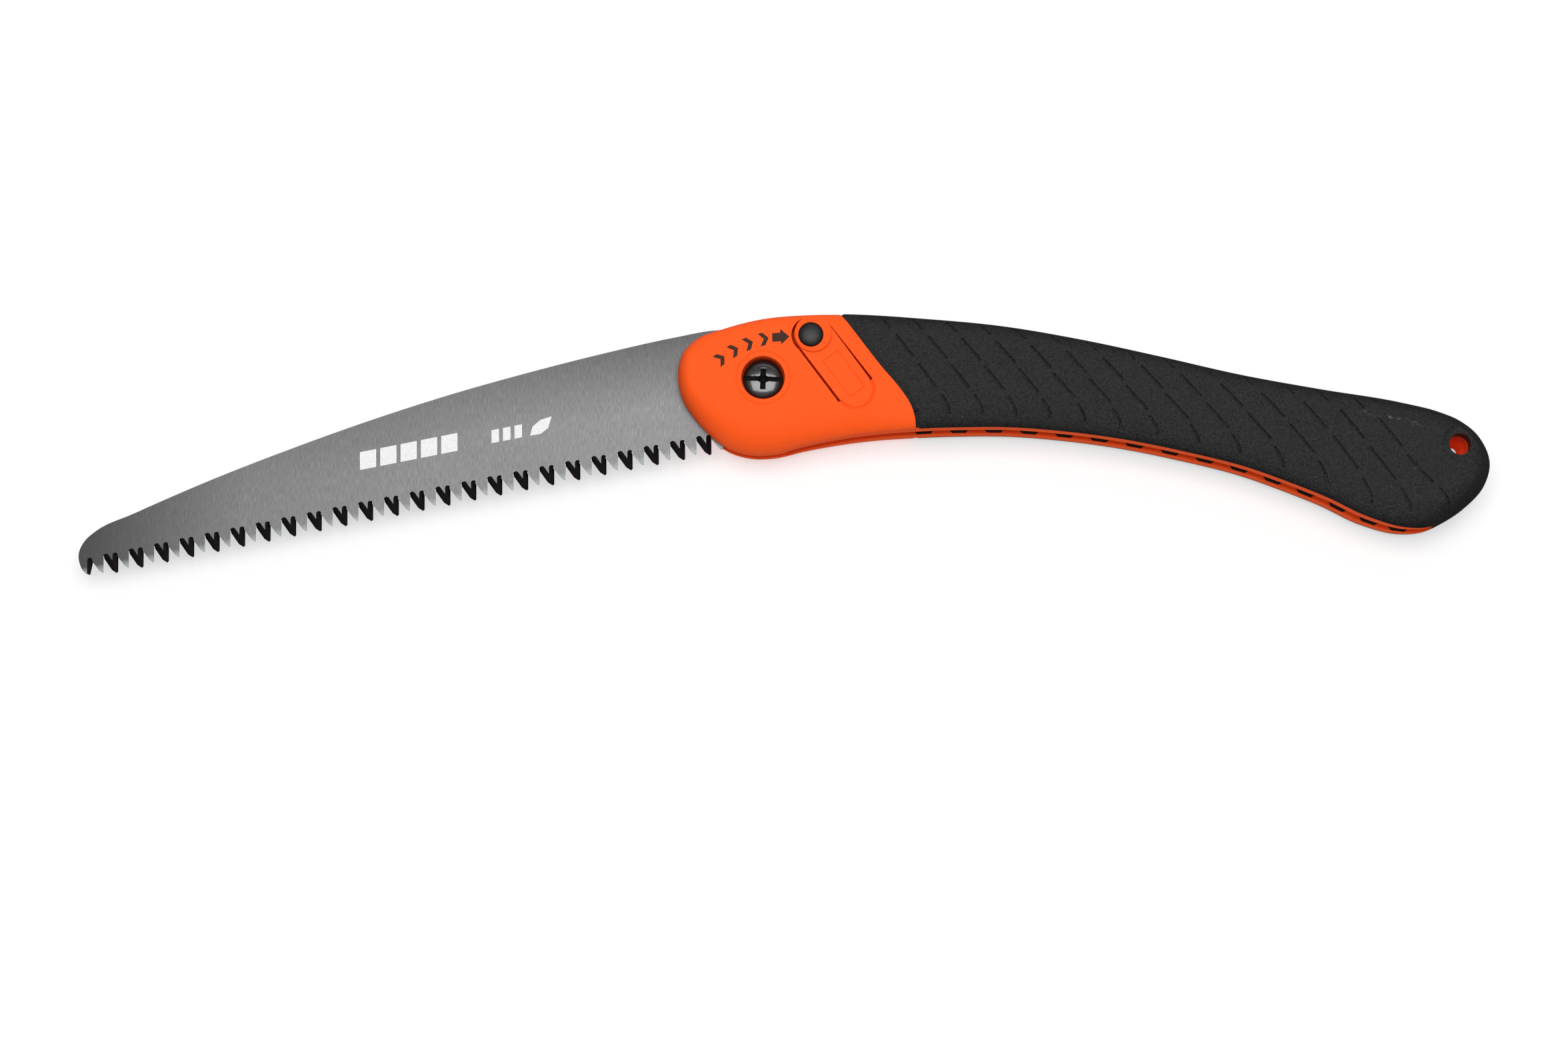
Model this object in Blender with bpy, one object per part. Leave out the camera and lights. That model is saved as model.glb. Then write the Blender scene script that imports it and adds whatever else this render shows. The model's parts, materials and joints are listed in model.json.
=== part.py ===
"""Folding pruning saw with its blade open, lying on its rear side.

Every drawing size is in millimetres in the pivot frame: the Z axis is the pivot, z = 0 is the
blade's mid-plane, +X runs along the handle to its butt and +Y points to the spine. The "saw"
empty places that frame in the world, in metres, so that the saw rests on z = 0.
"""
import math

import bmesh
import bpy
import numpy as np
from mathutils import Matrix, Vector

MM = 0.001

# Place of the pivot frame in the world
PIVOT_X, PIVOT_Y = -6.338, 18.083

# Clearances
GAP = 0.3                  # between neighbouring pieces
HALF_GAP = GAP / 2         # from the mid-plane to each half of the handle

# Handle thickness
GRIP_HALF = 11.0           # mid-plane to the rubber's flat side
SHELL_HALF = 10.6          # mid-plane to the nose's flat side
RUBBER = 2.0               # rubber thickness
RUBBER_PROUD = 0.35        # rubber stands this far outside the plastic's outline
CORE_HALF = GRIP_HALF - RUBBER - GAP
CORE_INSET = RUBBER + GAP  # plastic under the rubber, from the outline
CORE_STEP = 0.8            # the plastic's shoulder starts this far above the outline's
LIP_DROP = 0.25            # the bare lip ends this far below the outline's shoulder

# Blade
BLADE_HALF = 0.65
TANG_RADIUS = 16.5
PIVOT_HOLE = 4.08
FOLD_DEG = 156.0
TOOTH_PAIRS = 24
FIRST_GULLET = (-193.7, -52.2)
LAST_GULLET = (-15.1, -16.0)
EDGE_BOW = 0.4             # the toothed edge bows in by this much at its middle
# One pair of teeth: place along the edge as a share of the pair's pitch, depth below it
TOOTH_PAIR = ((0.0, 0.0), (0.193, 2.94), (0.314, 3.84), (0.35, 3.64),
              (0.449, -0.33), (0.67, 3.41), (0.825, 4.56), (0.897, 4.29))
LAST_TOOTH_POINTS = 4
SPINE = ((-5.5, 16.1), (-13.0, 16.3), (-26.3, 14.0), (-43.8, 10.0), (-67.0, 4.0), (-90.3, -2.7),
         (-113.4, -10.3), (-136.5, -18.8), (-159.5, -28.0), (-182.3, -38.2), (-193.0, -43.3),
         (-196.4, -46.6), (-197.75, -50.2), (-197.2, -53.2), (-195.7, -55.5), (-194.4, -56.0))

# Slot for the blade
SLOT_HALF = 2.4
NOSE_SLOT_HALF = 1.7
MOUTH_HALF = 1.6           # the slot's last stretch, through the rubber at the butt

# Pivot stack
BARREL_RADIUS = 4.0
BARREL_BORE = 2.8
SHANK_RADIUS = 2.4
HEAD_RADIUS = 5.85
RECESS_RADIUS = 6.25
RECESS_FLOOR = 5.6
WASHER_THICK = 0.6
THRUST_RADIUS = 8.0
THRUST_LOW, THRUST_HIGH = 0.92, 1.42
HEAD_UNDER = RECESS_FLOOR + 2 * GAP + WASHER_THICK
HEAD_TOP = 9.0
DRIVE_HALF = 0.6           # half width of the screw's drive slot and of its cross wing
DRIVE_WING = 3.0
DRIVE_DEPTH = 1.1

# Lock
BUTTON = (13.8, 12.58)
BOSS = (14.47, 12.89)
BUTTON_RADIUS = 3.53
BOSS_RADIUS = 5.44
PIN_RADIUS = 1.6
COLLAR_RADIUS = 3.6
COLLAR_TOP, COLLAR_END = -0.95, -3.2
NOTCH_RADIUS = COLLAR_RADIUS + 0.4
HEEL_DEG = 178             # where the folded notch leaves the heel of the toothed edge
FLEX = (26.6, -3.65)       # middle of the tongue's flexing line
ARM = (-0.596, 0.803)      # along the tongue, from its root to the button
ACROSS = (0.803, 0.596)
TONGUE_HALF = 5.3
TONGUE_SLIT = 0.75
TONGUE_BOTTOM = 8.0
BOSS_BOTTOM = 7.6
BOSS_TOP = 11.3
POCKET_FLOOR = 4.8
BUTTON_SINK = 1.8          # the button's seat lies this far below the boss's top
# The pin's arc about the flexing line carries it a little sideways, so its rooms are off-centre
GUIDE_RADIUS, GUIDE_SHIFT = 2.8, (0.2, -0.3)
WELL_RADIUS, WELL_SHIFT, WELL_FLOOR = 5.1, (0.35, -0.45), -6.2

# Hang hole
HANG = (200.7, -19.4)
HANG_RADIUS = 3.0
SPOT_RADIUS = 5.4
SPOT_HEIGHT = 10.2
BOSS_WALL = 6.6

# Windows through the lips, filled by lugs of the rubber
WINDOWS = 14
WINDOW_PITCH = 10.2
WINDOW_FIRST = 46.9
WINDOW_WIDTH = 5.7
WINDOW_TAPER = 0.5
WINDOW_FOOT = 0.5          # from the lip's edge to the window
WINDOW_HEIGHT = 3.2

SIDES = 32
OUTSIDE = 18               # cutters run out to this height, clear of the handle

# Outline of the handle, anticlockwise from the tip of the nose:
# x, y, height where the shoulder starts, width of the shoulder, lip bare (1) or under rubber (0)
HANDLE = (
    (-24.8, 2.7, 2.7, 4.0, 0), (-23.3, -5.2, 2.7, 4.5, 0), (-19.8, -10.6, 2.7, 6.0, 0),
    (-15.2, -15.5, 2.7, 7.5, 0), (-10.0, -19.4, 2.7, 9.0, 0), (-3.5, -21.3, 2.8, 10.0, 0),
    (3.5, -21.1, 3.2, 10.0, 0), (12.0, -18.9, 4.4, 10.0, 0), (24.0, -16.5, 5.7, 10.0, 0),
    (34.0, -15.2, 6.3, 9.8, 0), (42.6, -14.5, 7.0, 9.6, 0), (44.0, -14.4, 7.1, 9.5, 1),
    (57.6, -13.9, 7.1, 9.5, 1), (71.0, -13.9, 7.1, 9.5, 1), (86.9, -15.1, 7.1, 9.5, 1),
    (104.4, -17.5, 7.1, 9.5, 1), (121.9, -21.1, 7.1, 9.5, 1), (139.4, -25.6, 7.1, 9.5, 1),
    (151.0, -29.8, 7.1, 9.5, 1), (162.5, -34.5, 7.1, 9.0, 1), (174.0, -40.1, 7.1, 8.5, 1),
    (185.5, -43.1, 6.0, 8.0, 1), (191.5, -42.8, 4.5, 7.6, 1), (197.4, -40.2, 2.5, 7.3, 0.6),
    (203.2, -36.2, 1.6, 7.0, 0), (208.3, -30.6, 1.5, 7.0, 0), (210.25, -24.2, 1.5, 7.0, 0),
    (207.1, -15.9, 1.8, 7.0, 0), (201.4, -11.4, 3.0, 6.6, 0), (195.4, -9.2, 4.6, 5.8, 0),
    (184.4, -6.7, 6.0, 5.0, 0), (161.4, -2.8, 6.0, 5.0, 0), (138.3, 1.5, 6.0, 5.0, 0),
    (115.2, 6.9, 6.0, 5.0, 0), (92.0, 12.0, 6.0, 5.0, 0), (68.8, 16.0, 6.0, 5.0, 0),
    (45.6, 18.2, 6.0, 4.8, 0), (29.0, 19.3, 6.0, 4.5, 0), (20.4, 19.5, 6.0, 4.2, 0),
    (11.7, 19.3, 6.0, 4.0, 0), (0.0, 18.3, 5.5, 4.0, 0), (-11.6, 15.5, 4.5, 4.0, 0),
    (-19.4, 12.6, 3.5, 4.0, 0), (-23.6, 8.2, 2.8, 4.0, 0),
)
# Edge between the orange nose and the rubber, spine to belly
GRIP_EDGE = ((17.2, 26.0), (22.75, 18.6), (28.5, 10.85), (34.1, 3.4), (40.0, -3.8),
             (42.7, -8.2), (43.9, -12.1), (44.1, -14.8), (44.3, -55.0))
# Blade cavity: its roof below the spine, round the hang hole and down the butt
CAVITY_ROOF = ((6.8, -60.0), (6.8, -14.0), (10.5, -9.0), (10.5, 6.0), (13.5, 13.0), (19.0, 15.2),
               (30.0, 14.6), (45.0, 12.8), (69.0, 10.0), (92.0, 6.0), (115.0, 0.9), (138.0, -4.4),
               (161.0, -8.7), (184.0, -12.6))
CAVITY_BUTT = ((206.2, -28.0), (205.0, -32.5), (201.0, -36.0), (196.5, -38.6), (195.5, -60.0))
NOSE_SLOT = ((-40, -40), (6.9, -40), (6.9, -14), (11, -8.5), (11, 6), (19, 13), (19, 40), (-40, 40))
MOUTH = ((194.0, -33.0), (194.0, -60.0), (203.6, -60.0), (203.6, -33.0))


# ---------------------------------------------------------------- curves

def smooth_curve(points, per_span, closed, phase=0.0):
    """Points along a smooth curve through the control rows; phase shifts them along each span."""
    rows = np.array(points, float)
    if not closed:
        first = 2 * rows[0] - rows[1]
        last = 2 * rows[-1] - rows[-2]
        rows = np.vstack([first, rows, last])
    ahead = np.roll(rows, -1, axis=0)
    chord = np.linalg.norm(ahead[:, :2] - rows[:, :2], axis=1)[:, None]
    rise = (ahead - rows) / chord
    chord_before, rise_before = np.roll(chord, 1, axis=0), np.roll(rise, 1, axis=0)
    slope = (rise_before * chord + rise * chord_before) / (chord + chord_before)
    spans = range(len(rows)) if closed else range(1, len(rows) - 2)
    out = []
    for i in spans:
        j = (i + 1) % len(rows)
        for step in range(per_span):
            t = (step + phase) / per_span
            out.append((1 - 3 * t**2 + 2 * t**3) * rows[i] + (3 * t**2 - 2 * t**3) * rows[j]
                       + chord[i] * ((t - 2 * t**2 + t**3) * slope[i] + (t**3 - t**2) * slope[j]))
    if not closed:
        out.append(rows[-2])
    return np.array(out)


def inward(loop):
    """Unit normals pointing into a loop that runs anticlockwise."""
    along = np.roll(loop, -1, axis=0) - np.roll(loop, 1, axis=0)
    along /= np.linalg.norm(along, axis=1)[:, None]
    return np.column_stack([-along[:, 1], along[:, 0]])


def arc(centre, radius, start_deg, end_deg, count):
    """Points on a circle's arc, ends included."""
    angles = np.radians(np.linspace(start_deg, end_deg, count))
    return [(centre[0] + radius * math.cos(a), centre[1] + radius * math.sin(a)) for a in angles]


def rectangle(half_x, half_y):
    """A rectangle about the pivot."""
    return [(-half_x, -half_y), (half_x, -half_y), (half_x, half_y), (-half_x, half_y)]


def on_tongue(along, across):
    """A point given along the tongue from its flexing line, and across it."""
    return (FLEX[0] + along * ARM[0] + across * ACROSS[0],
            FLEX[1] + along * ARM[1] + across * ACROSS[1])


# ---------------------------------------------------------------- solids

def material(name, color, roughness, metallic=0.0):
    """A plain Principled material."""
    made = bpy.data.materials.new(name)
    made.use_nodes = True
    made.diffuse_color = (*color, 1.0)
    shader = made.node_tree.nodes["Principled BSDF"]
    shader.inputs["Base Color"].default_value = (*color, 1.0)
    shader.inputs["Roughness"].default_value = roughness
    shader.inputs["Metallic"].default_value = metallic
    return made


def finish_mesh(name, bm, look, parent):
    """Turn a bmesh in millimetres into an object of the saw."""
    bmesh.ops.scale(bm, vec=(MM, MM, MM), verts=bm.verts)
    bmesh.ops.recalc_face_normals(bm, faces=bm.faces)
    mesh = bpy.data.meshes.new(name)
    bm.to_mesh(mesh)
    bm.free()
    mesh.shade_smooth()
    mesh.set_sharp_from_angle(angle=math.radians(35))
    if look:
        mesh.materials.append(look)
    obj = bpy.data.objects.new(name, mesh)
    bpy.context.scene.collection.objects.link(obj)
    obj.parent = parent
    return obj


def loft(name, rings, look, parent):
    """A closed solid through rings of equal point counts, capped at both ends."""
    bm = bmesh.new()
    loops = [[bm.verts.new(point) for point in ring] for ring in rings]
    bands = []
    for low, high in zip(loops, loops[1:]):
        for i in range(len(low)):
            j = (i + 1) % len(low)
            bands.append(bm.faces.new((low[i], low[j], high[j], high[i])))
    bmesh.ops.triangulate(bm, faces=bands)
    bm.faces.new(loops[0])
    bm.faces.new(loops[-1])
    return finish_mesh(name, bm, look, parent)


def prism(name, outlines, low, high, look, parent):
    """Upright prisms on the given outlines, as one object."""
    bm = bmesh.new()
    for outline in outlines:
        face = bm.faces.new([bm.verts.new((x, y, low)) for x, y in outline])
        grown = bmesh.ops.extrude_face_region(bm, geom=[face])
        raised = [item for item in grown["geom"] if isinstance(item, bmesh.types.BMVert)]
        bmesh.ops.translate(bm, verts=raised, vec=(0, 0, high - low))
    return finish_mesh(name, bm, look, parent)


def turned(name, profile, centre, look, parent):
    """A solid turned about a Z axis through centre; an open profile starts and ends on the axis."""
    bm = bmesh.new()
    verts = [bm.verts.new((radius, 0, height)) for radius, height in profile]
    edges = [bm.edges.new(pair) for pair in zip(verts, verts[1:])]
    if profile[0][0] > 0:
        edges.append(bm.edges.new((verts[-1], verts[0])))
    bmesh.ops.spin(bm, geom=verts + edges, axis=(0, 0, 1), cent=(0, 0, 0), angle=2 * math.pi,
                   steps=SIDES, use_merge=True)
    bmesh.ops.remove_doubles(bm, verts=bm.verts, dist=1e-4)
    bmesh.ops.translate(bm, verts=bm.verts, vec=(centre[0], centre[1], 0))
    return finish_mesh(name, bm, look, parent)


def cylinder(name, centre, radius, low, high, parent):
    """A plain round cutter."""
    profile = [(0, low), (radius, low), (radius, high), (0, high)]
    return cutter(turned(name, profile, centre, None, parent))


def cutter(obj):
    """Mark an object as a tool that shapes others."""
    obj.hide_render = True
    obj.display_type = "WIRE"
    return obj


def combine(obj, tool, operation="DIFFERENCE"):
    """Cut, join or intersect an object with a tool."""
    step = obj.modifiers.new(tool.name, "BOOLEAN")
    step.operation = operation
    step.solver = "EXACT"
    step.object = tool


# ---------------------------------------------------------------- handle halves

def ring(stations, inset, height, side):
    """One ring of a handle half: the outline moved in by inset, at the given height."""
    outline = stations[:, :2]
    moved = outline + inward(outline) * np.reshape(inset, (-1, 1))
    return np.column_stack([moved, side * (np.zeros(len(outline)) + height)])


def shoulder_inset(stations, height, top, width):
    """How far the rounded shoulder lies inside the outline at a height."""
    edge = stations[:, 2]
    rise = np.clip((height - edge) / (top - edge), 0, 1)
    return width * (1 - np.sqrt(1 - rise**2))


def shell_blank(name, stations, side, look, parent):
    """A full half of the handle at the plastic's outline."""
    edge, width = stations[:, 2], stations[:, 3]
    rings = [ring(stations, 0, HALF_GAP, side)]
    for turn in np.radians((0, 25, 50, 72, 90)):
        height = edge + (SHELL_HALF - edge) * math.sin(turn)
        rings.append(ring(stations, width * (1 - math.cos(turn)), height, side))
    return loft(name, rings, look, parent)


def core_rings(stations, side, grow):
    """Rings of the plastic's surface under the rubber, flat side first; grow moves them outwards."""
    start = stations[:, 2] + CORE_STEP
    width = stations[:, 3] - 1.0
    rings = []
    for turn in np.radians((90, 60, 30, 0)):
        height = start + (CORE_HALF - start) * math.sin(turn) + grow
        rings.append(ring(stations, CORE_INSET - grow + width * (1 - math.cos(turn)), height, side))
    return rings


def rubber_space(name, stations, side, edge_prism, parent):
    """The space that the rubber takes out of a shell, open to the outside."""
    edge, lip = stations[:, 2], stations[:, 4]
    rim = lip * (edge - LIP_DROP) - (1 - lip)
    rings = core_rings(stations, side, 0)
    rings += [ring(stations, CORE_INSET, rim, side), ring(stations, -4, rim, side),
              ring(stations, -4, OUTSIDE, side)]
    space = cutter(loft(name, rings, None, parent))
    combine(space, edge_prism, "INTERSECT")
    return space


def grip_blank(name, stations, side, look, parent):
    """The rubber skin before it is trimmed to its front edge."""
    edge, width, lip = stations[:, 2], stations[:, 3], stations[:, 4]
    rim = lip * (edge - LIP_DROP + GAP) + (1 - lip) * HALF_GAP
    proud = RUBBER_PROUD * (1 - lip)
    rings = core_rings(stations, side, GAP)
    rings.append(ring(stations, CORE_INSET - GAP, rim, side))
    for turn in np.radians((0, 18, 36, 54, 72, 90)):
        height = rim + (GRIP_HALF - rim) * math.sin(turn)
        inset = shoulder_inset(stations, height, GRIP_HALF, width) - proud
        rings.append(ring(stations, inset, height, side))
    return loft(name, rings, look, parent)


def lip_frames(stations):
    """Places of the windows on the belly's edge: a point and the direction along the edge."""
    belly = stations[stations[:, 4] == 1]
    places = WINDOW_FIRST + WINDOW_PITCH * np.arange(WINDOWS)
    run = WINDOW_WIDTH / 2
    for x in places:
        before, here, after = np.interp([x - run, x, x + run], belly[:, 0], belly[:, 1])
        along = Vector((2 * run, after - before)).normalized()
        yield Vector((x, here)), along


def window_outlines(stations, shrink):
    """Trapezoids of the windows, seen from the side, smaller all round by shrink."""
    outlines = []
    for point, along in lip_frames(stations):
        up = Vector((-along.y, along.x))
        half = WINDOW_WIDTH / 2 - shrink
        foot, head = WINDOW_FOOT + shrink, WINDOW_FOOT + WINDOW_HEIGHT - shrink
        low_half = half - WINDOW_TAPER
        corners = ((-low_half, foot), (low_half, foot), (half, head), (-half, head))
        outlines.append([tuple(point + along * a + up * b) for a, b in corners])
    return outlines


def cavity_outline():
    """Outline of the blade's cavity, with the hang hole's wall standing in it."""
    wall = arc(HANG, BOSS_WALL, 165, 300, 8)
    return list(CAVITY_ROOF) + wall + list(CAVITY_BUTT)


def tongue_outline(grow):
    """Outline of the lock's tongue, larger by grow; its free end runs out over the spine."""
    half = TONGUE_HALF + grow
    left = math.degrees(math.atan2(ARM[1], ARM[0])) + 90
    round_end = arc(BOSS, BOSS_RADIUS + grow, left + 12, 128, 7)
    return [on_tongue(-grow * 0.2, -half), on_tongue(-grow * 0.2, half), on_tongue(29.0, half),
            (round_end[-1][0] - 0.2, 23.0)] + round_end[::-1]


def add_lugs(skin, stations, side, parent):
    """Join the lugs that fill a shell's windows to its rubber skin."""
    low, high = sorted((side * (SLOT_HALF + GAP), side * (stations[:, 2].max() + 2.0)))
    lugs = cutter(prism(skin.name + "_lugs", window_outlines(stations, GAP), low, high, None, parent))
    combine(skin, lugs, "UNION")


def outline_stations(phase):
    """Stations round the handle's outline; those of another phase lie between these."""
    stations = smooth_curve(HANDLE, 2, closed=True, phase=phase)
    stations[:, 4] = np.clip(stations[:, 4], 0, 1)
    return stations


def build_handle(looks, root):
    """Both plastic shells and both rubber grips."""
    stations = outline_stations(0.0)
    between = outline_stations(0.5)
    edge = list(GRIP_EDGE)
    behind = [(240, -55), (240, 26)]
    trimmed = [(x + GAP, y) for x, y in edge]
    cut_edge = cutter(prism("rubber_edge", [edge + behind], -OUTSIDE, OUTSIDE, None, root))
    grip_edge = cutter(prism("grip_edge", [trimmed + behind], -OUTSIDE, OUTSIDE, None, root))
    cavity = cutter(prism("blade_cavity", [cavity_outline()], -SLOT_HALF, SLOT_HALF, None, root))
    nose_slot = cutter(prism("nose_slot", [NOSE_SLOT], -NOSE_SLOT_HALF, NOSE_SLOT_HALF, None, root))
    mouth = cutter(prism("slot_mouth", [MOUTH], -MOUTH_HALF, MOUTH_HALF, None, root))
    windows = cutter(prism("lip_windows", window_outlines(stations, 0), -OUTSIDE, OUTSIDE, None, root))
    bore = cylinder("pivot_bore", (0, 0), BARREL_RADIUS + GAP, -OUTSIDE, OUTSIDE, root)
    hang = cylinder("hang_bore", HANG, HANG_RADIUS, -OUTSIDE, OUTSIDE, root)
    hang_rubber = cylinder("hang_bore_rubber", HANG, HANG_RADIUS + 0.2, -OUTSIDE, OUTSIDE, root)
    shared = [cavity, nose_slot, mouth, windows, bore, hang]
    for side, name in ((1, "front"), (-1, "rear")):
        space = rubber_space(name + "_rubber_space", between, side, cut_edge, root)
        low, high = sorted((side * RECESS_FLOOR, side * OUTSIDE))
        recess = cylinder(name + "_recess", (0, 0), RECESS_RADIUS, low, high, root)
        tools = [space] + shared + [recess] + lock_room(name, root)
        half = shell_blank(name + "_shell", stations, side, looks["orange"], root)
        for tool in tools:
            combine(half, tool)
        skin = grip_blank(name + "_grip", between, side, looks["rubber"], root)
        combine(skin, grip_edge, "INTERSECT")
        add_lugs(skin, stations, side, root)
        low, high = sorted((side * SPOT_HEIGHT, side * OUTSIDE))
        spot = cylinder(name + "_spot", HANG, SPOT_RADIUS, low, high, root)
        for tool in (mouth, hang_rubber, spot):
            combine(skin, tool)
    return stations


def lock_room(name, root):
    """The room that the lock needs in one shell."""
    if name == "front":
        slit = tongue_outline(TONGUE_SLIT)
        pocket = cutter(prism("tongue_pocket", [slit], POCKET_FLOOR, OUTSIDE, None, root))
        centre = (BUTTON[0] + GUIDE_SHIFT[0], BUTTON[1] + GUIDE_SHIFT[1])
        return [pocket, cylinder("pin_guide", centre, GUIDE_RADIUS, -SLOT_HALF, OUTSIDE, root)]
    centre = (BUTTON[0] + WELL_SHIFT[0], BUTTON[1] + WELL_SHIFT[1])
    return [cylinder("collar_well", centre, WELL_RADIUS, WELL_FLOOR, 1, root)]


# ---------------------------------------------------------------- blade

def tooth_points():
    """The toothed edge from its tip end to the heel."""
    first, last = Vector(FIRST_GULLET), Vector(LAST_GULLET)
    along = (last - first).normalized()
    down = Vector((along.y, -along.x))
    length = (last - first).length
    pitch = length / TOOTH_PAIRS
    points = []
    for pair in range(TOOTH_PAIRS + 1):
        shape = TOOTH_PAIR if pair < TOOTH_PAIRS else TOOTH_PAIR[:LAST_TOOTH_POINTS]
        for share, depth in shape:
            place = (pair + share) * pitch
            bow = 4 * EDGE_BOW * (place / length) * (1 - place / length)
            points.append(tuple(first + along * place + down * (depth - bow)))
    return points


def notch(centre_deg):
    """A round lock notch in the tang's rim, in the order in which the rim runs."""
    reach = math.hypot(*BUTTON)
    centre = (reach * math.cos(math.radians(centre_deg)), reach * math.sin(math.radians(centre_deg)))
    cos_half = (reach**2 + NOTCH_RADIUS**2 - TANG_RADIUS**2) / (2 * reach * NOTCH_RADIUS)
    half = math.degrees(math.acos(cos_half))
    return centre, half


def blade_outline():
    """Outline of the whole blade, anticlockwise."""
    lock_deg = math.degrees(math.atan2(BUTTON[1], BUTTON[0]))
    reach = math.hypot(*BUTTON)
    cos_swing = (TANG_RADIUS**2 + reach**2 - NOTCH_RADIUS**2) / (2 * TANG_RADIUS * reach)
    swing = math.degrees(math.acos(cos_swing))
    outline = [tuple(point) for point in smooth_curve(SPINE, 2, closed=False)]
    outline += tooth_points()
    folded_deg = lock_deg - FOLD_DEG
    centre, half = notch(folded_deg)
    outline += arc(centre, NOTCH_RADIUS, HEEL_DEG, folded_deg + 180 - half, 11)
    outline += arc((0, 0), TANG_RADIUS, folded_deg + swing + 3, lock_deg - swing - 3, 16)
    centre, half = notch(lock_deg)
    outline += arc(centre, NOTCH_RADIUS, lock_deg + 180 + half, lock_deg + 180 - half, 9)
    outline += arc((0, 0), TANG_RADIUS, lock_deg + swing + 3, 97, 6)
    return outline


def build_blade(looks, root):
    """The toothed blade with its notched tang."""
    blade = prism("blade", [blade_outline()], -BLADE_HALF, BLADE_HALF, looks["steel"], root)
    combine(blade, cylinder("blade_bore", (0, 0), PIVOT_HOLE, -3, 3, root))
    return blade


# ---------------------------------------------------------------- pivot

def build_pivot(looks, root):
    """Screw, sleeve nut and washers, in the order in which they lie on the pivot."""
    screw_end = -BARREL_RADIUS - 1.0
    screw = turned("pivot_screw", [
        (0, screw_end), (SHANK_RADIUS - 0.4, screw_end), (SHANK_RADIUS, screw_end + 0.4),
        (SHANK_RADIUS, HEAD_UNDER), (HEAD_RADIUS, HEAD_UNDER), (HEAD_RADIUS, HEAD_UNDER + 0.7),
        (5.2, HEAD_UNDER + 1.4), (3.4, HEAD_TOP - 0.15), (0, HEAD_TOP)],
        (0, 0), looks["black_steel"], root)
    slot = rectangle(HEAD_RADIUS + 1, DRIVE_HALF)
    wing = rectangle(DRIVE_HALF, DRIVE_WING)
    drive_floor = HEAD_TOP - DRIVE_DEPTH
    combine(screw, cutter(prism("drive_slot", [slot], drive_floor, OUTSIDE, None, root)))
    combine(screw, cutter(prism("drive_wing", [wing], drive_floor - DRIVE_HALF, OUTSIDE, None, root)))
    turned("pivot_nut", [
        (BARREL_BORE, RECESS_FLOOR), (BARREL_BORE, -6.2), (1.2, -7.4), (1.2, -8.0),
        (HEAD_RADIUS - 0.6, -HEAD_TOP),
        (HEAD_RADIUS, -HEAD_TOP + 0.6), (HEAD_RADIUS, -HEAD_UNDER), (BARREL_RADIUS, -HEAD_UNDER),
        (BARREL_RADIUS, RECESS_FLOOR)], (0, 0), looks["black_steel"], root)
    washer_low, washer_high = RECESS_FLOOR + GAP, RECESS_FLOOR + GAP + WASHER_THICK
    washer("screw_washer", SHANK_RADIUS + 0.3, HEAD_RADIUS, washer_low, washer_high, looks["zinc"], root)
    washer("nut_washer", BARREL_RADIUS + GAP, HEAD_RADIUS, -washer_high, -washer_low, looks["zinc"], root)
    washer("front_thrust_washer", BARREL_RADIUS + GAP, THRUST_RADIUS, THRUST_LOW, THRUST_HIGH,
           looks["nylon"], root)
    washer("rear_thrust_washer", BARREL_RADIUS + GAP, THRUST_RADIUS, -THRUST_HIGH, -THRUST_LOW,
           looks["nylon"], root)


def washer(name, inner, outer, low, high, look, root):
    """A flat ring on the pivot."""
    return turned(name, [(inner, low), (outer, low), (outer, high), (inner, high)], (0, 0), look, root)


# ---------------------------------------------------------------- lock

def build_lock(stations, looks, root):
    """Tongue, button and pin, hung on an empty at the tongue's flexing line."""
    flex_height = (TONGUE_BOTTOM + SHELL_HALF) / 2
    flex_point = (FLEX[0], FLEX[1], flex_height)
    flex = bpy.data.objects.new("lock_flex", None)
    bpy.context.scene.collection.objects.link(flex)
    flex.parent = root
    flex.location = Vector(flex_point) * MM

    tongue = shell_blank("press_tongue", stations, 1, looks["orange"], root)
    strip = cutter(prism("tongue_strip", [tongue_outline(0)], TONGUE_BOTTOM, OUTSIDE, None, root))
    combine(tongue, strip, "INTERSECT")
    boss = turned("tongue_boss", [
        (0, BOSS_BOTTOM), (BOSS_RADIUS, BOSS_BOTTOM), (BOSS_RADIUS, BOSS_TOP - 0.4),
        (BOSS_RADIUS - 0.5, BOSS_TOP), (0, BOSS_TOP)], BOSS, None, root)
    combine(tongue, cutter(boss), "UNION")
    button_seat = BOSS_TOP - BUTTON_SINK
    combine(tongue, cylinder("pin_hole", BUTTON, PIN_RADIUS + GAP, 0, OUTSIDE, root))
    combine(tongue, cylinder("button_seat", BUTTON, BUTTON_RADIUS + GAP, button_seat, OUTSIDE, root))

    button_base = button_seat + GAP
    button = turned("lock_button", [
        (0, button_base), (BUTTON_RADIUS, button_base), (BUTTON_RADIUS, BOSS_TOP + 0.1),
        (3.1, BOSS_TOP + 0.6), (2.0, BOSS_TOP + 0.9), (0, BOSS_TOP + 1.0)],
        BUTTON, looks["black_plastic"], root)
    pin = turned("lock_pin", [
        (0, COLLAR_END), (COLLAR_RADIUS - 0.5, COLLAR_END), (COLLAR_RADIUS, COLLAR_END + 0.5),
        (COLLAR_RADIUS, COLLAR_TOP), (PIN_RADIUS, COLLAR_TOP), (PIN_RADIUS, button_base - GAP),
        (0, button_base - GAP)], BUTTON, looks["zinc"], root)
    for piece in (tongue, button, pin):
        piece.data.transform(Matrix.Translation(-Vector(flex_point) * MM))
        piece.parent = flex


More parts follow.
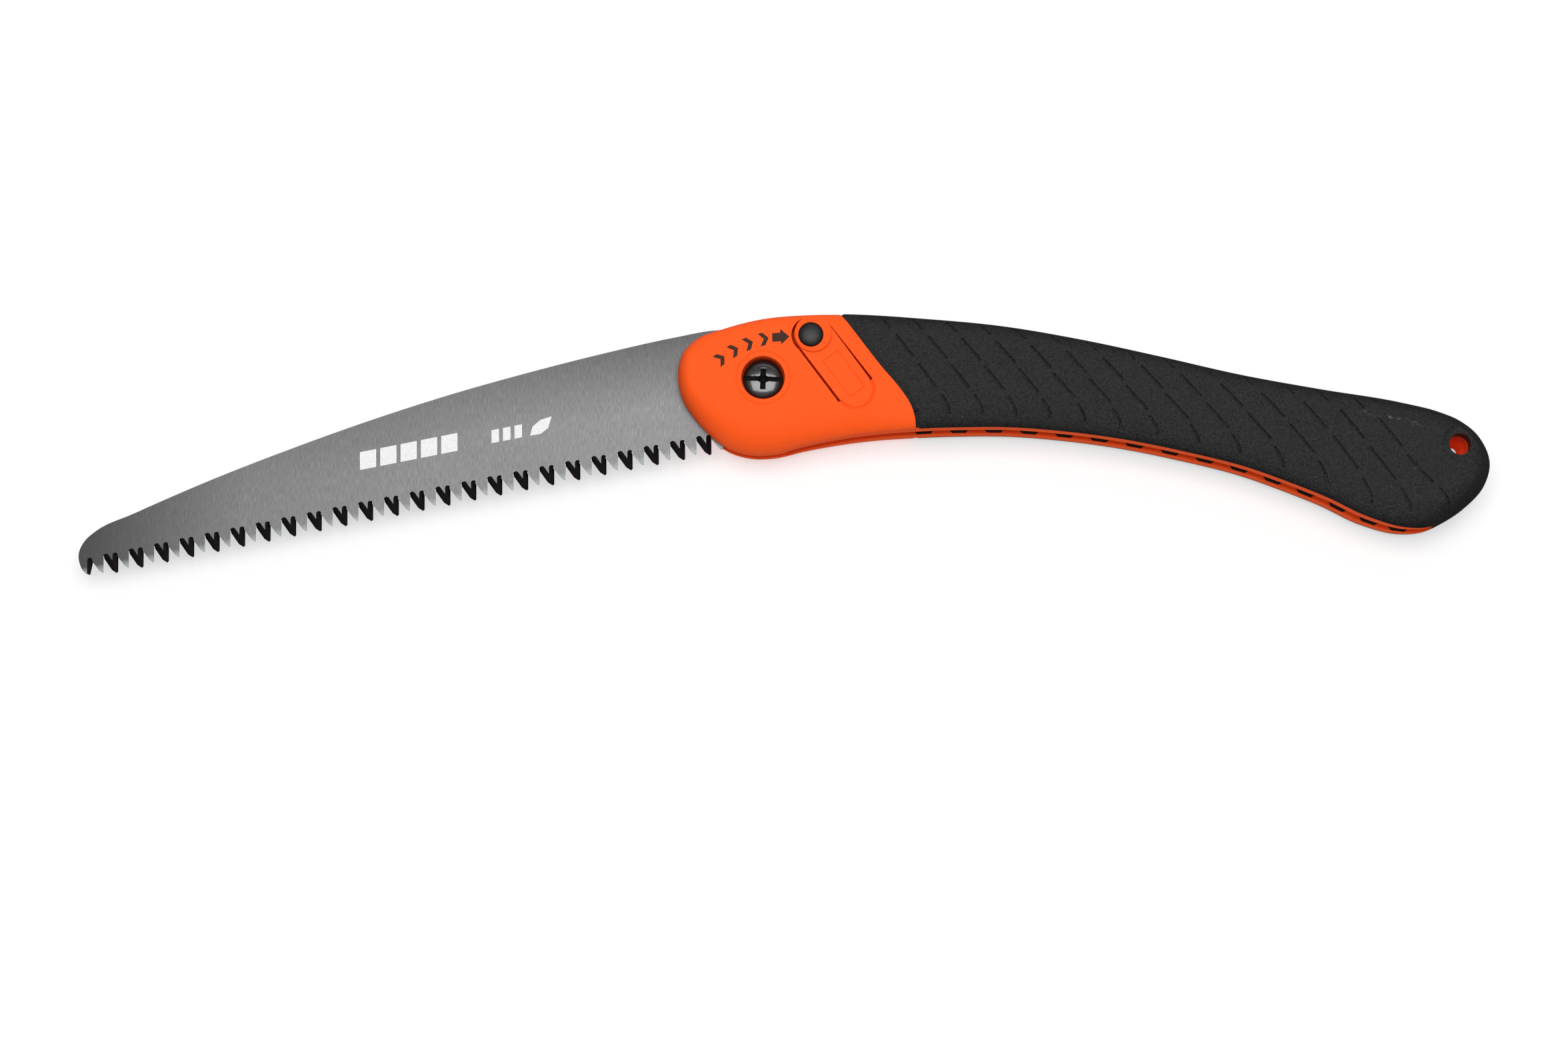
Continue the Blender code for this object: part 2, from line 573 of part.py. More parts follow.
def main():
    for obj in list(bpy.data.objects):
        bpy.data.objects.remove(obj, do_unlink=True)
    looks = {
        "orange": material("orange_plastic", (0.87, 0.13, 0.03), 0.45),
        "rubber": material("charcoal_rubber", (0.035, 0.035, 0.037), 0.85),
        "steel": material("ground_steel", (0.36, 0.36, 0.37), 0.4, 1.0),
        "black_steel": material("black_steel", (0.02, 0.02, 0.022), 0.25, 0.6),
        "black_plastic": material("black_plastic", (0.02, 0.02, 0.02), 0.4),
        "zinc": material("zinc_steel", (0.55, 0.56, 0.58), 0.35, 1.0),
        "nylon": material("white_nylon", (0.8, 0.8, 0.77), 0.5),
    }
    root = bpy.data.objects.new("saw", None)
    bpy.context.scene.collection.objects.link(root)
    root.location = Vector((PIVOT_X, PIVOT_Y, GRIP_HALF)) * MM
    stations = build_handle(looks, root)
    build_blade(looks, root)
    build_pivot(looks, root)
    build_lock(stations, looks, root)


main()
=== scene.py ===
"""Looks of the folding pruning saw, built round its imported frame.

Shapes are drawn in millimetres in the pivot frame: the Z axis is the pivot, z = 0 is the blade's
mid-plane, +X runs to the handle's butt and +Y to the spine. place() moves them into the frame.
"""

import json
import math

import bmesh
import bpy
import numpy as np
from mathutils import Matrix, Vector
from mathutils.bvhtree import BVHTree


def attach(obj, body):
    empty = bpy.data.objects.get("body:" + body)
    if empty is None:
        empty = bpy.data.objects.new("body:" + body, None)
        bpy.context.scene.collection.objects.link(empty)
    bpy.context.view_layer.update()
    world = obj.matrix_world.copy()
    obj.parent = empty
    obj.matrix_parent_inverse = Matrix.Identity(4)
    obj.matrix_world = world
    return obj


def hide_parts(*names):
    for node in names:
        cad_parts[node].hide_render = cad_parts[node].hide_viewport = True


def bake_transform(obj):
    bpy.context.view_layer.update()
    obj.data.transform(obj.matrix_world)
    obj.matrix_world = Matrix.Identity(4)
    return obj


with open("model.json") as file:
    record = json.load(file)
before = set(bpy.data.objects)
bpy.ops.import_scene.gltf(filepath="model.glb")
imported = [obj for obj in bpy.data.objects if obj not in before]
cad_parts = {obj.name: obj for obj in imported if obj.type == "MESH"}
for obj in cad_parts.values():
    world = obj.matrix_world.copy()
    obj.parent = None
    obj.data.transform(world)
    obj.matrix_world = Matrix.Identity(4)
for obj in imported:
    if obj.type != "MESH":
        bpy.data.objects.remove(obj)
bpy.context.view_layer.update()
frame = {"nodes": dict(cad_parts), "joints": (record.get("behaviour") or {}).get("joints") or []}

MM = 0.001
PIVOT = next(Vector(joint["pos_m"]) for joint in frame["joints"] if joint["name"] == "blade_fold")
PLACE = Matrix.Translation(PIVOT) @ Matrix.Scale(MM, 4)

# Fits between neighbouring pieces, as moulded
FIT = 0.05
SEAM = 0.03  # from the mid-plane to each half of the handle
OUTSIDE = 18  # cutters run out to this height, clear of the handle

# Handle thickness
GRIP_HALF = 11.0
SHELL_HALF = 10.6
RUBBER_PROUD = 0.195  # rubber stands this far outside the plastic's outline
CORE_HALF = 8.7  # the plastic under the rubber
CORE_INSET = 2.3
CORE_STEP = 0.8
CORE_NARROWER = 1.0  # its shoulder is this much narrower than the rubber's
LIP_DROP = 0.45  # from the shoulder's start down to the lip's upper face

# Blade
BLADE_HALF = 0.65
BEVEL_SHARE = 0.83  # of the blade's thickness, ground away at a tooth's flank
BEVEL_END = 0.72  # rounding where a bevel starts, less than the smallest rise below
# Bevels by side and flank: width, and how far they rise above the gullet
REAR_FIRST, REAR_SECOND = (0.9, 0.8), (1.2, 1.0)
FRONT_FIRST, FRONT_SECOND = (1.7, 0.75), (1.5, 1.1)
TANG_RADIUS = 16.5
PIVOT_HOLE = 4.08
FOLD_DEG = 156.0
TOOTH_PAIRS = 24
FIRST_GULLET = Vector((-193.7, -52.2))
LAST_GULLET = Vector((-15.1, -16.0))
EDGE_RUN = (LAST_GULLET - FIRST_GULLET).normalized()
EDGE_DOWN = -EDGE_RUN.orthogonal()
EDGE_LENGTH = (LAST_GULLET - FIRST_GULLET).length
PAIR_PITCH = EDGE_LENGTH / TOOTH_PAIRS
EDGE_BOW = 0.4  # the gullets midway lie this far above a straight line
EDGE_SLIDE = 1.2  # the teeth midway stand this much nearer the tip than evenly spaced ones
# One pair of teeth: place along the edge as a share of the pair's pitch, depth below it
TOOTH_PAIR = ((0.0, 0.0), (0.193, 2.94), (0.314, 3.84), (0.35, 3.64),
              (0.449, -0.33), (0.67, 3.41), (0.825, 4.56), (0.897, 4.29))
LAST_TOOTH_POINTS = 4
# From the tang to the tip and round it to the first tooth
SPINE = ((-5.5, 16.1), (-13.0, 16.3), (-26.3, 14.0), (-43.8, 10.0), (-67.0, 4.0), (-90.3, -2.7),
         (-113.4, -10.3), (-136.5, -18.8), (-159.5, -28.0), (-182.3, -38.2), (-193.0, -43.3),
         (-196.4, -46.6), (-197.744, -50.2), (-197.2, -53.2), (-195.7, -55.5), (-194.4, -56.0))

# Half widths of the space for the blade: cavity, slot through the nose, mouth at the butt
SLOT_HALF = 2.6
NOSE_SLOT_HALF = 1.7
MOUTH_HALF = 1.6

# Pivot stack
BARREL_RADIUS = 4.0
HEAD_RADIUS = 5.85
RECESS_RADIUS = 6.25
RECESS_FLOOR = 5.6
RING_RADIUS, RING_WIDTH, RING_DEPTH = 7.8, 0.4, 0.16  # thin line round the recess
HEAD_UNDER = 6.8
HEAD_SIDE = 0.9  # height of the head's straight side
HEAD_EDGE = 0.2  # chamfer under the head
HEAD_TOP = 9.0
SHANK_RADIUS, SHANK_END = 2.4, -5.0
NUT_BORE = ((2.8, RECESS_FLOOR), (2.8, -6.2), (1.2, -7.4), (1.2, -8.0))
SLOT_HALVES = (0.68, 0.6)  # half widths of the screw's and the nut's slot

# Lock
BUTTON = (13.8, 12.58)
BOSS = (14.47, 12.89)
BUTTON_RADIUS = 3.53
BOSS_RADIUS = 5.44
BUTTON_GUIDE = 2.8
PIN_RADIUS = 1.6
BUTTON_REACH = math.hypot(*BUTTON)
NOTCH_RADIUS = 4.0
HEEL_DEG = 178
FLEX = (26.6, -3.65)
ARM = (-0.596, 0.803)
ACROSS = (0.803, 0.596)
TONGUE_HALF = 5.3
TONGUE_BOTTOM = 8.0
BOSS_TOP = 11.3
BOSS_ROUNDING = 0.45
BUTTON_FOOT, BUTTON_SIDE_TOP, BUTTON_TOP = BOSS_TOP - 1.5, BOSS_TOP - 0.1, BOSS_TOP + 0.95
BUTTON_DOME = 1.05
POCKET_FLOOR = 4.8
PANEL = (-1.0, 12.45, -2.6, 3.0)  # on the tongue: its ends along it, its sides across it
PANEL_LINE, PANEL_DEPTH = 0.32, 0.3
# Slits beside the tongue, each from its root end to the boss: distance along, width there
WIDE_SLIT = ((0.0, 0.74), (19.0, 0.7))
NARROW_SLIT = ((-0.3, 0.75), (19.5, 0.42))
CRESCENT_RADIUS, CRESCENT_SHIFT, CRESCENT_DEG = 5.5, 0.85, 200
ROOT_GROOVE_WIDTH, ROOT_GROOVE_DEPTH = 0.9, 0.5

# Hang hole
HANG = (200.7, -19.4)
HANG_RADIUS = 3.0
HANG_TAPER = 1.4  # the bore narrows by this towards the rear
HANG_SIDES = 90
SPOT_RADIUS = 5.4  # spot face round the hole
SPOT_HEIGHT = 9.65
BOSS_WALL = 6.6
COLLAR_RADIUS, COLLAR_FOOT = 4.3, 5.0  # the rubber lines the bore's mouth down to here

# Windows through the lips
WINDOWS = 15
WINDOW_PITCH = 10.2
WINDOW_CROWD, CROWD_FROM = 0.115, 7  # windows beyond this one stand closer together
WINDOW_FIRST = 46.9
WINDOW_WIDTH = 5.7
WINDOW_TAPER = 0.9
WINDOW_FOOT = 0.2
WINDOW_HEIGHT = 3.2
LUG_TOP = 7.4

# Channels moulded into the rubber: 14 in each of 4 rows, a little further apart towards the butt.
# A row gives its first channel's x, how much the 12th and the last are moved on where the handle
# swells, where channels start and end as shares of the handle's depth below the spine, their run
# along x at the front and at the butt, and how much they curve.
CHANNELS = 14
CHANNEL_PITCH, CHANNEL_STRETCH = 9.3, 0.107
CHANNEL_RADIUS = 0.42
CHANNEL_DEPTH = 0.6
CHANNEL_ROWS = (
    (33.8, 0.6, -3.2, 0.025, 0.13, 2.9, 3.4, 0.0),
    (38.4, 1.9, -0.3, 0.185, 0.385, 5.2, 6.8, 0.0),
    (44.9, 3.7, 1.1, 0.44, 0.66, 5.2, 7.4, 0.0),
    (51.5, 5.3, 3.6, 0.72, 0.895, 2.3, 2.7, 1.0),
)

# The handle's outline, anticlockwise from the nose: x, y, the height where the rounded shoulder
# starts, the shoulder's width, and 1 where the rubber stands on a lip of the shell
HANDLE = (
    (-24.8, 2.7, 2.7, 4.0, 0), (-23.3, -5.2, 2.7, 4.5, 0), (-19.8, -10.6, 2.7, 6.0, 0),
    (-15.2, -15.5, 2.7, 7.5, 0), (-10.0, -19.4, 2.7, 9.0, 0), (-3.5, -21.3, 2.8, 10.0, 0),
    (3.5, -21.1, 3.2, 10.0, 0), (12.0, -18.9, 4.4, 10.0, 0), (24.0, -16.5, 5.7, 10.0, 0),
    (34.0, -15.2, 6.3, 9.8, 0), (42.6, -14.5, 7.0, 9.6, 0), (44.0, -14.4, 7.1, 9.5, 1),
    (57.6, -13.9, 7.1, 9.5, 1), (71.0, -13.9, 7.1, 9.5, 1), (86.9, -15.1, 7.1, 9.5, 1),
    (104.4, -17.5, 7.1, 9.5, 1), (121.9, -21.1, 7.1, 9.5, 1), (139.4, -25.6, 7.1, 9.5, 1),
    (151.0, -29.8, 7.1, 9.5, 1), (162.5, -34.5, 7.1, 9.0, 1), (174.0, -40.1, 7.1, 8.5, 1),
    (185.5, -43.1, 6.0, 8.0, 1), (191.5, -42.8, 4.5, 7.6, 1), (197.4, -40.2, 2.5, 7.3, 0.6),
    (203.2, -36.2, 1.6, 7.0, 0), (208.3, -30.6, 1.5, 7.0, 0), (210.25, -24.2, 1.5, 7.0, 0),
    (207.1, -15.9, 1.8, 7.0, 0), (201.4, -11.4, 3.0, 6.6, 0), (195.4, -9.2, 4.6, 5.8, 0),
    (184.4, -6.7, 6.0, 5.0, 0), (161.4, -2.8, 6.0, 5.0, 0), (138.3, 1.5, 6.0, 5.0, 0),
    (115.2, 6.9, 6.0, 5.0, 0), (92.0, 12.0, 6.0, 5.0, 0), (68.8, 16.0, 6.0, 5.0, 0),
    (45.6, 18.2, 6.0, 4.8, 0), (29.0, 19.3, 6.0, 4.5, 0), (20.4, 19.5, 6.0, 4.2, 0),
    (11.7, 19.3, 6.0, 4.0, 0), (0.0, 18.3, 5.5, 4.0, 0), (-11.6, 15.5, 4.5, 4.0, 0),
    (-19.4, 12.6, 3.5, 4.0, 0), (-23.6, 8.2, 2.8, 4.0, 0),
)
# The rubber's front edge from the spine to past the belly, and what lies behind it
GRIP_EDGE = ((17.2, 26.0), (22.75, 18.6), (28.5, 10.85), (34.1, 3.4), (40.0, -3.8),
             (42.7, -8.2), (43.9, -12.1), (44.1, -14.8), (44.3, -55.0))
BEHIND_EDGE = [(240, -55), (240, 26)]
# The blade's cavity on the spine's side and at the butt, then the nose's slot and the mouth
CAVITY_ROOF = ((6.8, -60.0), (6.8, -14.0), (10.5, -9.0), (10.5, 6.0), (13.5, 13.0), (19.0, 15.2),
               (30.0, 14.6), (45.0, 12.8), (69.0, 10.0), (92.0, 6.0), (115.0, 0.9), (138.0, -4.4),
               (161.0, -8.7), (184.0, -12.6))
CAVITY_BUTT = ((206.2, -28.0), (205.0, -32.5), (201.0, -36.0), (196.5, -38.6), (195.5, -60.0))
NOSE_SLOT = ((-40, -40), (6.9, -40), (6.9, -14), (11, -8.5), (11, 6), (19, 13), (19, 40), (-40, 40))
MOUTH = ((194.0, -33.0), (194.0, -60.0), (203.6, -60.0), (203.6, -33.0))

# Printing
CHEVRON = ((-1.3, -1.9), (0.1, -1.9), (1.5, 0), (0.1, 1.9), (-1.3, 1.9), (0.1, 0))
CHEVRON_CENTRE, CHEVRON_RADIUS, CHEVRON_DEGS = Vector((7.5, -20.1)), 32.3, (128.0, 103.2, 4)
ARROW = ((2.6, 13.1), (4.9, 13.2), (5.0, 14.3), (7.6, 12.1), (5.3, 9.8), (5.1, 10.7), (2.7, 10.5))
# On the blade, along its edge and above it. Blocks: first place, count, pitch, width, foot, head
BLOCKS = ((80.5, 5, 6.0, 4.8, 11.1, 16.3), (119.4, 3, 3.4, 2.2, 11.3, 15.1))
BLOCK_LEAN = 0.18
LEAF = ((130.8, 11.3), (133.9, 11.2), (136.4, 12.5), (138.0, 15.7), (134.6, 15.3), (132.0, 13.8))

PER_SPAN = 6  # points on each span of the handle's outline
ROUND = 96  # sides of a turned piece


# ---- materials

class Nodes:
    """A new node material with its Principled shader, and short ways to add nodes to it."""

    def __init__(self, name):
        self.material = bpy.data.materials.new(name)
        self.material.use_nodes = True
        self.tree = self.material.node_tree
        self.shader = self.tree.nodes["Principled BSDF"]
        self.place = self.add("TexCoord").outputs["Object"]

    def add(self, kind, **settings):
        node = self.tree.nodes.new("ShaderNode" + kind)
        for key, value in settings.items():
            if hasattr(node, key):
                setattr(node, key, value)
            else:
                node.inputs[key.replace("_", " ").title()].default_value = value
        return node

    def link(self, source, target):
        self.tree.links.new(source, target)

    def set(self, **values):
        """Uniform values go straight onto the shader's sockets."""
        for key, value in values.items():
            self.shader.inputs[key.replace("_", " ").title().replace("Ior", "IOR")].default_value = value

    def stretched(self, scale):
        """Object coordinates scaled by a vector."""
        mapping = self.add("Mapping", scale=scale)
        self.link(self.place, mapping.inputs["Vector"])
        return mapping.outputs["Vector"]

    def noise(self, scale, detail=3.0, roughness=0.5, where=None):
        node = self.add("TexNoise", scale=scale, detail=detail, roughness=roughness)
        self.link(where or self.place, node.inputs["Vector"])
        return node.outputs["Fac"]

    def span(self, value, low, high, to_low, to_high):
        """Map a value from one range to another, clamped."""
        node = self.add("MapRange", from_min=low, from_max=high, to_min=to_low, to_max=to_high)
        self.link(value, node.inputs["Value"])
        return node.outputs["Result"]

    def rough(self, value, smoothest, roughest):
        """Roughness from the middle of a noise's range."""
        return self.span(value, 0.3, 0.7, smoothest, roughest)

    def math(self, operation, first, second):
        node = self.add("Math", operation=operation)
        for socket, item in zip(node.inputs, (first, second)):
            if isinstance(item, (int, float)):
                socket.default_value = item
            else:
                self.link(item, socket)
        return node.outputs["Value"]

    def mix(self, factor, first, second):
        """Mix two colours by a socket; each is a colour or a socket."""
        node = self.add("Mix", data_type="RGBA")
        sockets = [s for s in node.inputs if s.type == "RGBA"]
        for socket, item in zip(sockets, (first, second)):
            if isinstance(item, tuple):
                socket.default_value = (*item, 1.0)
            else:
                self.link(item, socket)
        self.link(factor, node.inputs["Factor"])
        return next(s for s in node.outputs if s.type == "RGBA")

    def along(self, direction):
        """Distance in metres along a direction of the frame, from its origin."""
        node = self.add("VectorMath", operation="DOT_PRODUCT")
        self.link(self.place, node.inputs[0])
        node.inputs[1].default_value = direction
        return node.outputs["Value"]

    def bump(self, height, distance, strength=1.0, before=None):
        node = self.add("Bump", distance=distance, strength=strength)
        self.link(height, node.inputs["Height"])
        if before:
            self.link(before, node.inputs["Normal"])
        return node.outputs["Normal"]

    def finish(self, color, roughness, normal=None):
        for socket, source in (("Base Color", color), ("Roughness", roughness), ("Normal", normal)):
            if source is not None:
                self.link(source, self.shader.inputs[socket])
        return self.material


def orange_plastic():
    """Moulded plastic with a fine matt grain."""
    n = Nodes("orange_moulding")
    cloud = n.noise(60, 2)
    color = n.mix(cloud, (1.0, 0.098, 0.012), (1.0, 0.112, 0.016))
    grain = n.noise(5200, 2, 0.6)
    rough = n.rough(n.noise(900, 3), 0.42, 0.52)
    n.set(specular_ior_level=0.05)
    return n.finish(color, rough, n.bump(grain, 0.0001, 0.9))


def grip_rubber():
    """Charcoal rubber with a leathery grain, a few dust specks and a rubbed streak by the butt."""
    n = Nodes("charcoal_rubber")
    mottle = n.noise(2100, 3, 0.55)
    color = n.mix(n.span(mottle, 0.36, 0.66, 0, 1), (0.005, 0.0052, 0.0053), (0.026, 0.0265, 0.027))
    speck = n.add("TexVoronoi", scale=420)
    n.link(n.place, speck.inputs["Vector"])
    dust = n.span(speck.outputs["Distance"], 0.035, 0.06, 1, 0)
    rare = n.span(n.noise(130, 2), 0.6, 0.66, 0, 1)
    color = n.mix(n.math("MULTIPLY", dust, rare), color, (0.2, 0.2, 0.2))
    color = n.mix(rubbed_streak(n), color, (0.16, 0.16, 0.16))
    pebble = n.bump(mottle, 0.00055, 1.0)
    grain = n.bump(n.noise(5200, 2), 0.00008, 0.8, pebble)
    n.set(specular_ior_level=0.3)
    return n.finish(color, n.rough(mottle, 0.36, 0.5), grain)


def rubbed_streak(n):
    """How far the rubber is rubbed pale: patches along one short line beside the spine."""
    start, end = Vector((170.0, -9.6)), Vector((193.0, -14.6))
    along = (end - start).normalized()
    across = along.orthogonal()
    origin = start * MM + PIVOT.xy
    reach = n.math("SUBTRACT", n.along((*along, 0)), origin.dot(along))
    aside = n.math("SUBTRACT", n.along((*across, 0)), origin.dot(across))
    near = n.span(n.math("ABSOLUTE", aside, 0.0), 0.0001, 0.0009, 1, 0)
    begun = n.span(reach, 0, 0.004, 0, 1)
    ended = n.span(reach, 0.018, (end - start).length * MM, 1, 0)
    patches = n.span(n.noise(900, 4, 0.7), 0.52, 0.64, 0, 0.6)
    return n.math("MULTIPLY", n.math("MULTIPLY", near, patches), n.math("MULTIPLY", begun, ended))


def blade_steel():
    """Ground spring steel: fine lines across the blade, paler tooth points, and painted reflection: lighter
    by the handle, darker along the spine there and darker towards the tip.
    """
    n = Nodes("ground_blade")
    gullet = FIRST_GULLET * MM + PIVOT.xy
    depth = n.math("SUBTRACT", n.along((*EDGE_DOWN, 0)), gullet.dot(EDGE_DOWN))
    lines = n.noise(1.0, 5, 0.7, n.stretched((3800, 420, 420)))
    scratches = n.noise(1.0, 2, 0.5, n.stretched((8000, 60, 60)))
    x = n.along((1, 0, 0))
    from_tip = n.span(x, PIVOT.x - 0.2, PIVOT.x - 0.03, 0, 1)
    spine_shade = n.span(depth, -0.035, -0.012, 1, 0)
    # Painted reflection and shade: the steel is lighter by the handle, darker along the spine there and
    # darker still towards the tip.
    color = n.mix(from_tip, (0.122, 0.122, 0.124), (0.17, 0.17, 0.172))
    color = n.mix(n.math("MULTIPLY", spine_shade, from_tip), color, (0.06, 0.061, 0.063))
    color = n.mix(n.span(x, PIVOT.x - 0.2, PIVOT.x - 0.15, 0.88, 0), color, (0.025, 0.025, 0.026))
    color = n.mix(n.rough(lines, 0.0, 0.14), color, (0.07, 0.07, 0.072))
    color = n.mix(n.span(scratches, 0.55, 0.75, 0.0, 0.06), color, (0.36, 0.36, 0.37))
    color = n.mix(n.span(depth, 0.0012, 0.0030, 0, 1), color, (0.23, 0.255, 0.25))
    rough = n.rough(lines, 0.46, 0.58)
    n.set(metallic=0.75, anisotropic=0.4)
    return n.finish(color, rough, n.bump(lines, 0.00002, 0.5))


def tooth_bevel():
    """Ground bevels of the hardened teeth, with a violet cast; their near-black colour is painted
    reflection, standing in for the dark that the ground facets mirror.
    """
    n = Nodes("bevel_painted_reflection")
    lines = n.noise(1.0, 3, 0.6, n.stretched((2000, 900, 900)))
    # Painted reflection: the facets are painted nearly black.
    color = n.mix(lines, (0.003, 0.003, 0.0035), (0.011, 0.010, 0.013))
    n.set(metallic=0.5, specular_ior_level=0.4)
    return n.finish(color, n.rough(lines, 0.3, 0.45), n.bump(lines, 0.00002, 0.4))


def black_screw():
    """Glossy black plating with small uneven spots."""
    n = Nodes("glossy_black_plating")
    spots = n.noise(2200, 3)
    color = n.mix(spots, (0.003, 0.003, 0.003), (0.009, 0.009, 0.0095))
    n.set(coat_weight=0.5, coat_roughness=0.06, specular_ior_level=0.5)
    return n.finish(color, n.rough(spots, 0.12, 0.3), n.bump(n.noise(700, 2), 0.00006, 0.35))


def uneven(name, scale, dark, pale, roughness, bump, **shader):
    """A plain material with small variations in colour, roughness and height."""
    n = Nodes(name)
    grain = n.noise(scale)
    n.set(**shader)
    return n.finish(n.mix(grain, dark, pale), n.rough(grain, *roughness), n.bump(grain, *bump))


def inner_looks():
    """The small black, plated and nylon pieces, and the painted shade inside the screw's drive."""
    return {
        # Painted shade: the drive's cut faces are darker and duller than the head, standing in for the
        # shade inside the recess.
        "recess": uneven("drive_painted_shade", 2600, (0.001, 0.001, 0.001), (0.004, 0.004, 0.004), (0.6, 0.8),
                         (0.00003, 0.4), specular_ior_level=0.1),
        "button": uneven("satin_black_button", 3500, (0.0025, 0.0027, 0.0025), (0.006, 0.0064, 0.006),
                         (0.4, 0.52), (0.00002, 0.4), specular_ior_level=0.35),
        "zinc": uneven("zinc_plating", 1800, (0.45, 0.46, 0.48), (0.62, 0.63, 0.64), (0.25, 0.4),
                       (0.00001, 0.3), metallic=1.0),
        "nylon": uneven("natural_nylon", 1200, (0.72, 0.72, 0.68), (0.82, 0.82, 0.79), (0.4, 0.55),
                        (0.00002, 0.3)),
    }


def print_ink(name, thin, thick):
    """Pad-printed ink, a little uneven."""
    n = Nodes(name)
    cover = n.noise(2600, 3, 0.6)
    n.set(specular_ior_level=0.1)
    color = n.mix(n.span(cover, 0.35, 0.6, 0, 1), thin, thick)
    return n.finish(color, n.rough(cover, 0.5, 0.65), n.bump(cover, 0.00001, 0.3))


# ---- curves

def smooth_curve(points, per_span, closed, phase=0.0):
    """Points along a smooth curve through the control rows; phase shifts them along each span."""
    rows = np.array(points, float)
    if not closed:
        rows = np.vstack([2 * rows[0] - rows[1], rows, 2 * rows[-1] - rows[-2]])
    ahead = np.roll(rows, -1, axis=0)
    chord = np.linalg.norm(ahead[:, :2] - rows[:, :2], axis=1)[:, None]
    rise = (ahead - rows) / chord
    chord_before, rise_before = np.roll(chord, 1, axis=0), np.roll(rise, 1, axis=0)
    slope = (rise_before * chord + rise * chord_before) / (chord + chord_before)
    spans = range(len(rows)) if closed else range(1, len(rows) - 2)
    out = []
    for i in spans:
        j = (i + 1) % len(rows)
        for step in range(per_span):
            t = (step + phase) / per_span
            out.append((1 - 3 * t**2 + 2 * t**3) * rows[i] + (3 * t**2 - 2 * t**3) * rows[j]
                       + chord[i] * ((t - 2 * t**2 + t**3) * slope[i] + (t**3 - t**2) * slope[j]))
    if not closed:
        out.append(rows[-2])
    return np.array(out)


def inward(loop):
    """Unit normals pointing into a loop that runs anticlockwise."""
    along = np.roll(loop, -1, axis=0) - np.roll(loop, 1, axis=0)
    along /= np.linalg.norm(along, axis=1)[:, None]
    return np.column_stack([-along[:, 1], along[:, 0]])


def turns(start_deg, end_deg, count):
    """Evenly spaced angles in radians, ends included."""
    return np.radians(np.linspace(start_deg, end_deg, count))


def arc(centre, radius, start_deg, end_deg, count):
    """Points on a circle's arc, ends included."""
    return [(centre[0] + radius * math.cos(a), centre[1] + radius * math.sin(a))
            for a in turns(start_deg, end_deg, count)]


def on_tongue(along, across):
    """A point given along the tongue from its flexing line, and across it."""
    return (FLEX[0] + along * ARM[0] + across * ACROSS[0],
            FLEX[1] + along * ARM[1] + across * ACROSS[1])


def rectangle(half_x, half_y):
    """A rectangle about the pivot."""
    return [(-half_x, -half_y), (half_x, -half_y), (half_x, half_y), (-half_x, half_y)]


# ---- solids

def in_scene(name, data):
    """A new object in the scene that holds the given data."""
    obj = bpy.data.objects.new(name, data)
    bpy.context.scene.collection.objects.link(obj)
    return obj


def new_object(name, bm, look=None):
    """A scene object from a bmesh, still in millimetres."""
    bmesh.ops.recalc_face_normals(bm, faces=bm.faces)
    mesh = bpy.data.meshes.new(name)
    bm.to_mesh(mesh)
    bm.free()
    if look:
        mesh.materials.append(look)
    return in_scene(name, mesh)


def add_loft(bm, rings):
    """Add a closed solid through rings of equal point counts: triangle sides and flat caps."""
    loops = [[bm.verts.new(point) for point in ring] for ring in rings]
    for low, high in zip(loops, loops[1:]):
        for i in range(len(low)):
            j = (i + 1) % len(low)
            bm.faces.new((low[i], low[j], high[j]))
            bm.faces.new((low[i], high[j], high[i]))
    bm.faces.new(loops[0])
    bm.faces.new(loops[-1])


def lofts(name, solids, look=None):
    """Several lofted solids in one object."""
    bm = bmesh.new()
    for rings in solids:
        add_loft(bm, rings)
    return new_object(name, bm, look)


def upright(outline, low, high):
    """The rings of an upright prism."""
    return [[(x, y, z) for x, y in outline] for z in (low, high)]


def prism(name, outlines, low, high, look=None):
    """Upright prisms on the given outlines, as one object."""
    return lofts(name, [upright(outline, low, high) for outline in outlines], look)


def turned(name, profile, centre, look=None, sides=ROUND):
    """A solid turned about a Z axis through centre; an open profile starts and ends on the axis."""
    bm = bmesh.new()
    verts = [bm.verts.new((radius, 0, height)) for radius, height in profile]
    edges = [bm.edges.new(pair) for pair in zip(verts, verts[1:])]
    if profile[0][0] > 0:
        edges.append(bm.edges.new((verts[-1], verts[0])))
    bmesh.ops.spin(bm, geom=verts + edges, axis=(0, 0, 1), cent=(0, 0, 0), angle=2 * math.pi,
                   steps=sides, use_merge=True)
    bmesh.ops.remove_doubles(bm, verts=bm.verts, dist=1e-4)
    bmesh.ops.translate(bm, verts=bm.verts, vec=(centre[0], centre[1], 0))
    return new_object(name, bm, look)


def cylinder(name, centre, radius, low, high):
    return turned(name, [(0, low), (radius, low), (radius, high), (0, high)], centre)


def countersunk(name, centre, radius, floor, surface, chamfer=0.3):
    """A round cutter with a small rounding where it leaves the surface."""
    profile = [(0, floor), (radius, floor)]
    for turn in turns(0, 90, 4):
        profile.append((radius + chamfer * (1 - math.cos(turn)), surface - chamfer * (1 - math.sin(turn))))
    return turned(name, profile + [(radius + 2 * chamfer, OUTSIDE), (0, OUTSIDE)], centre)


def ring_groove():
    """A cutter for the thin line round the screw's recess."""
    inner, outer = RING_RADIUS - RING_WIDTH / 2, RING_RADIUS + RING_WIDTH / 2
    profile = [(inner, SHELL_HALF + 1), (inner, SHELL_HALF), (RING_RADIUS, SHELL_HALF - RING_DEPTH),
               (outer, SHELL_HALF), (outer, SHELL_HALF + 1)]
    return turned("ring", profile, (0, 0))


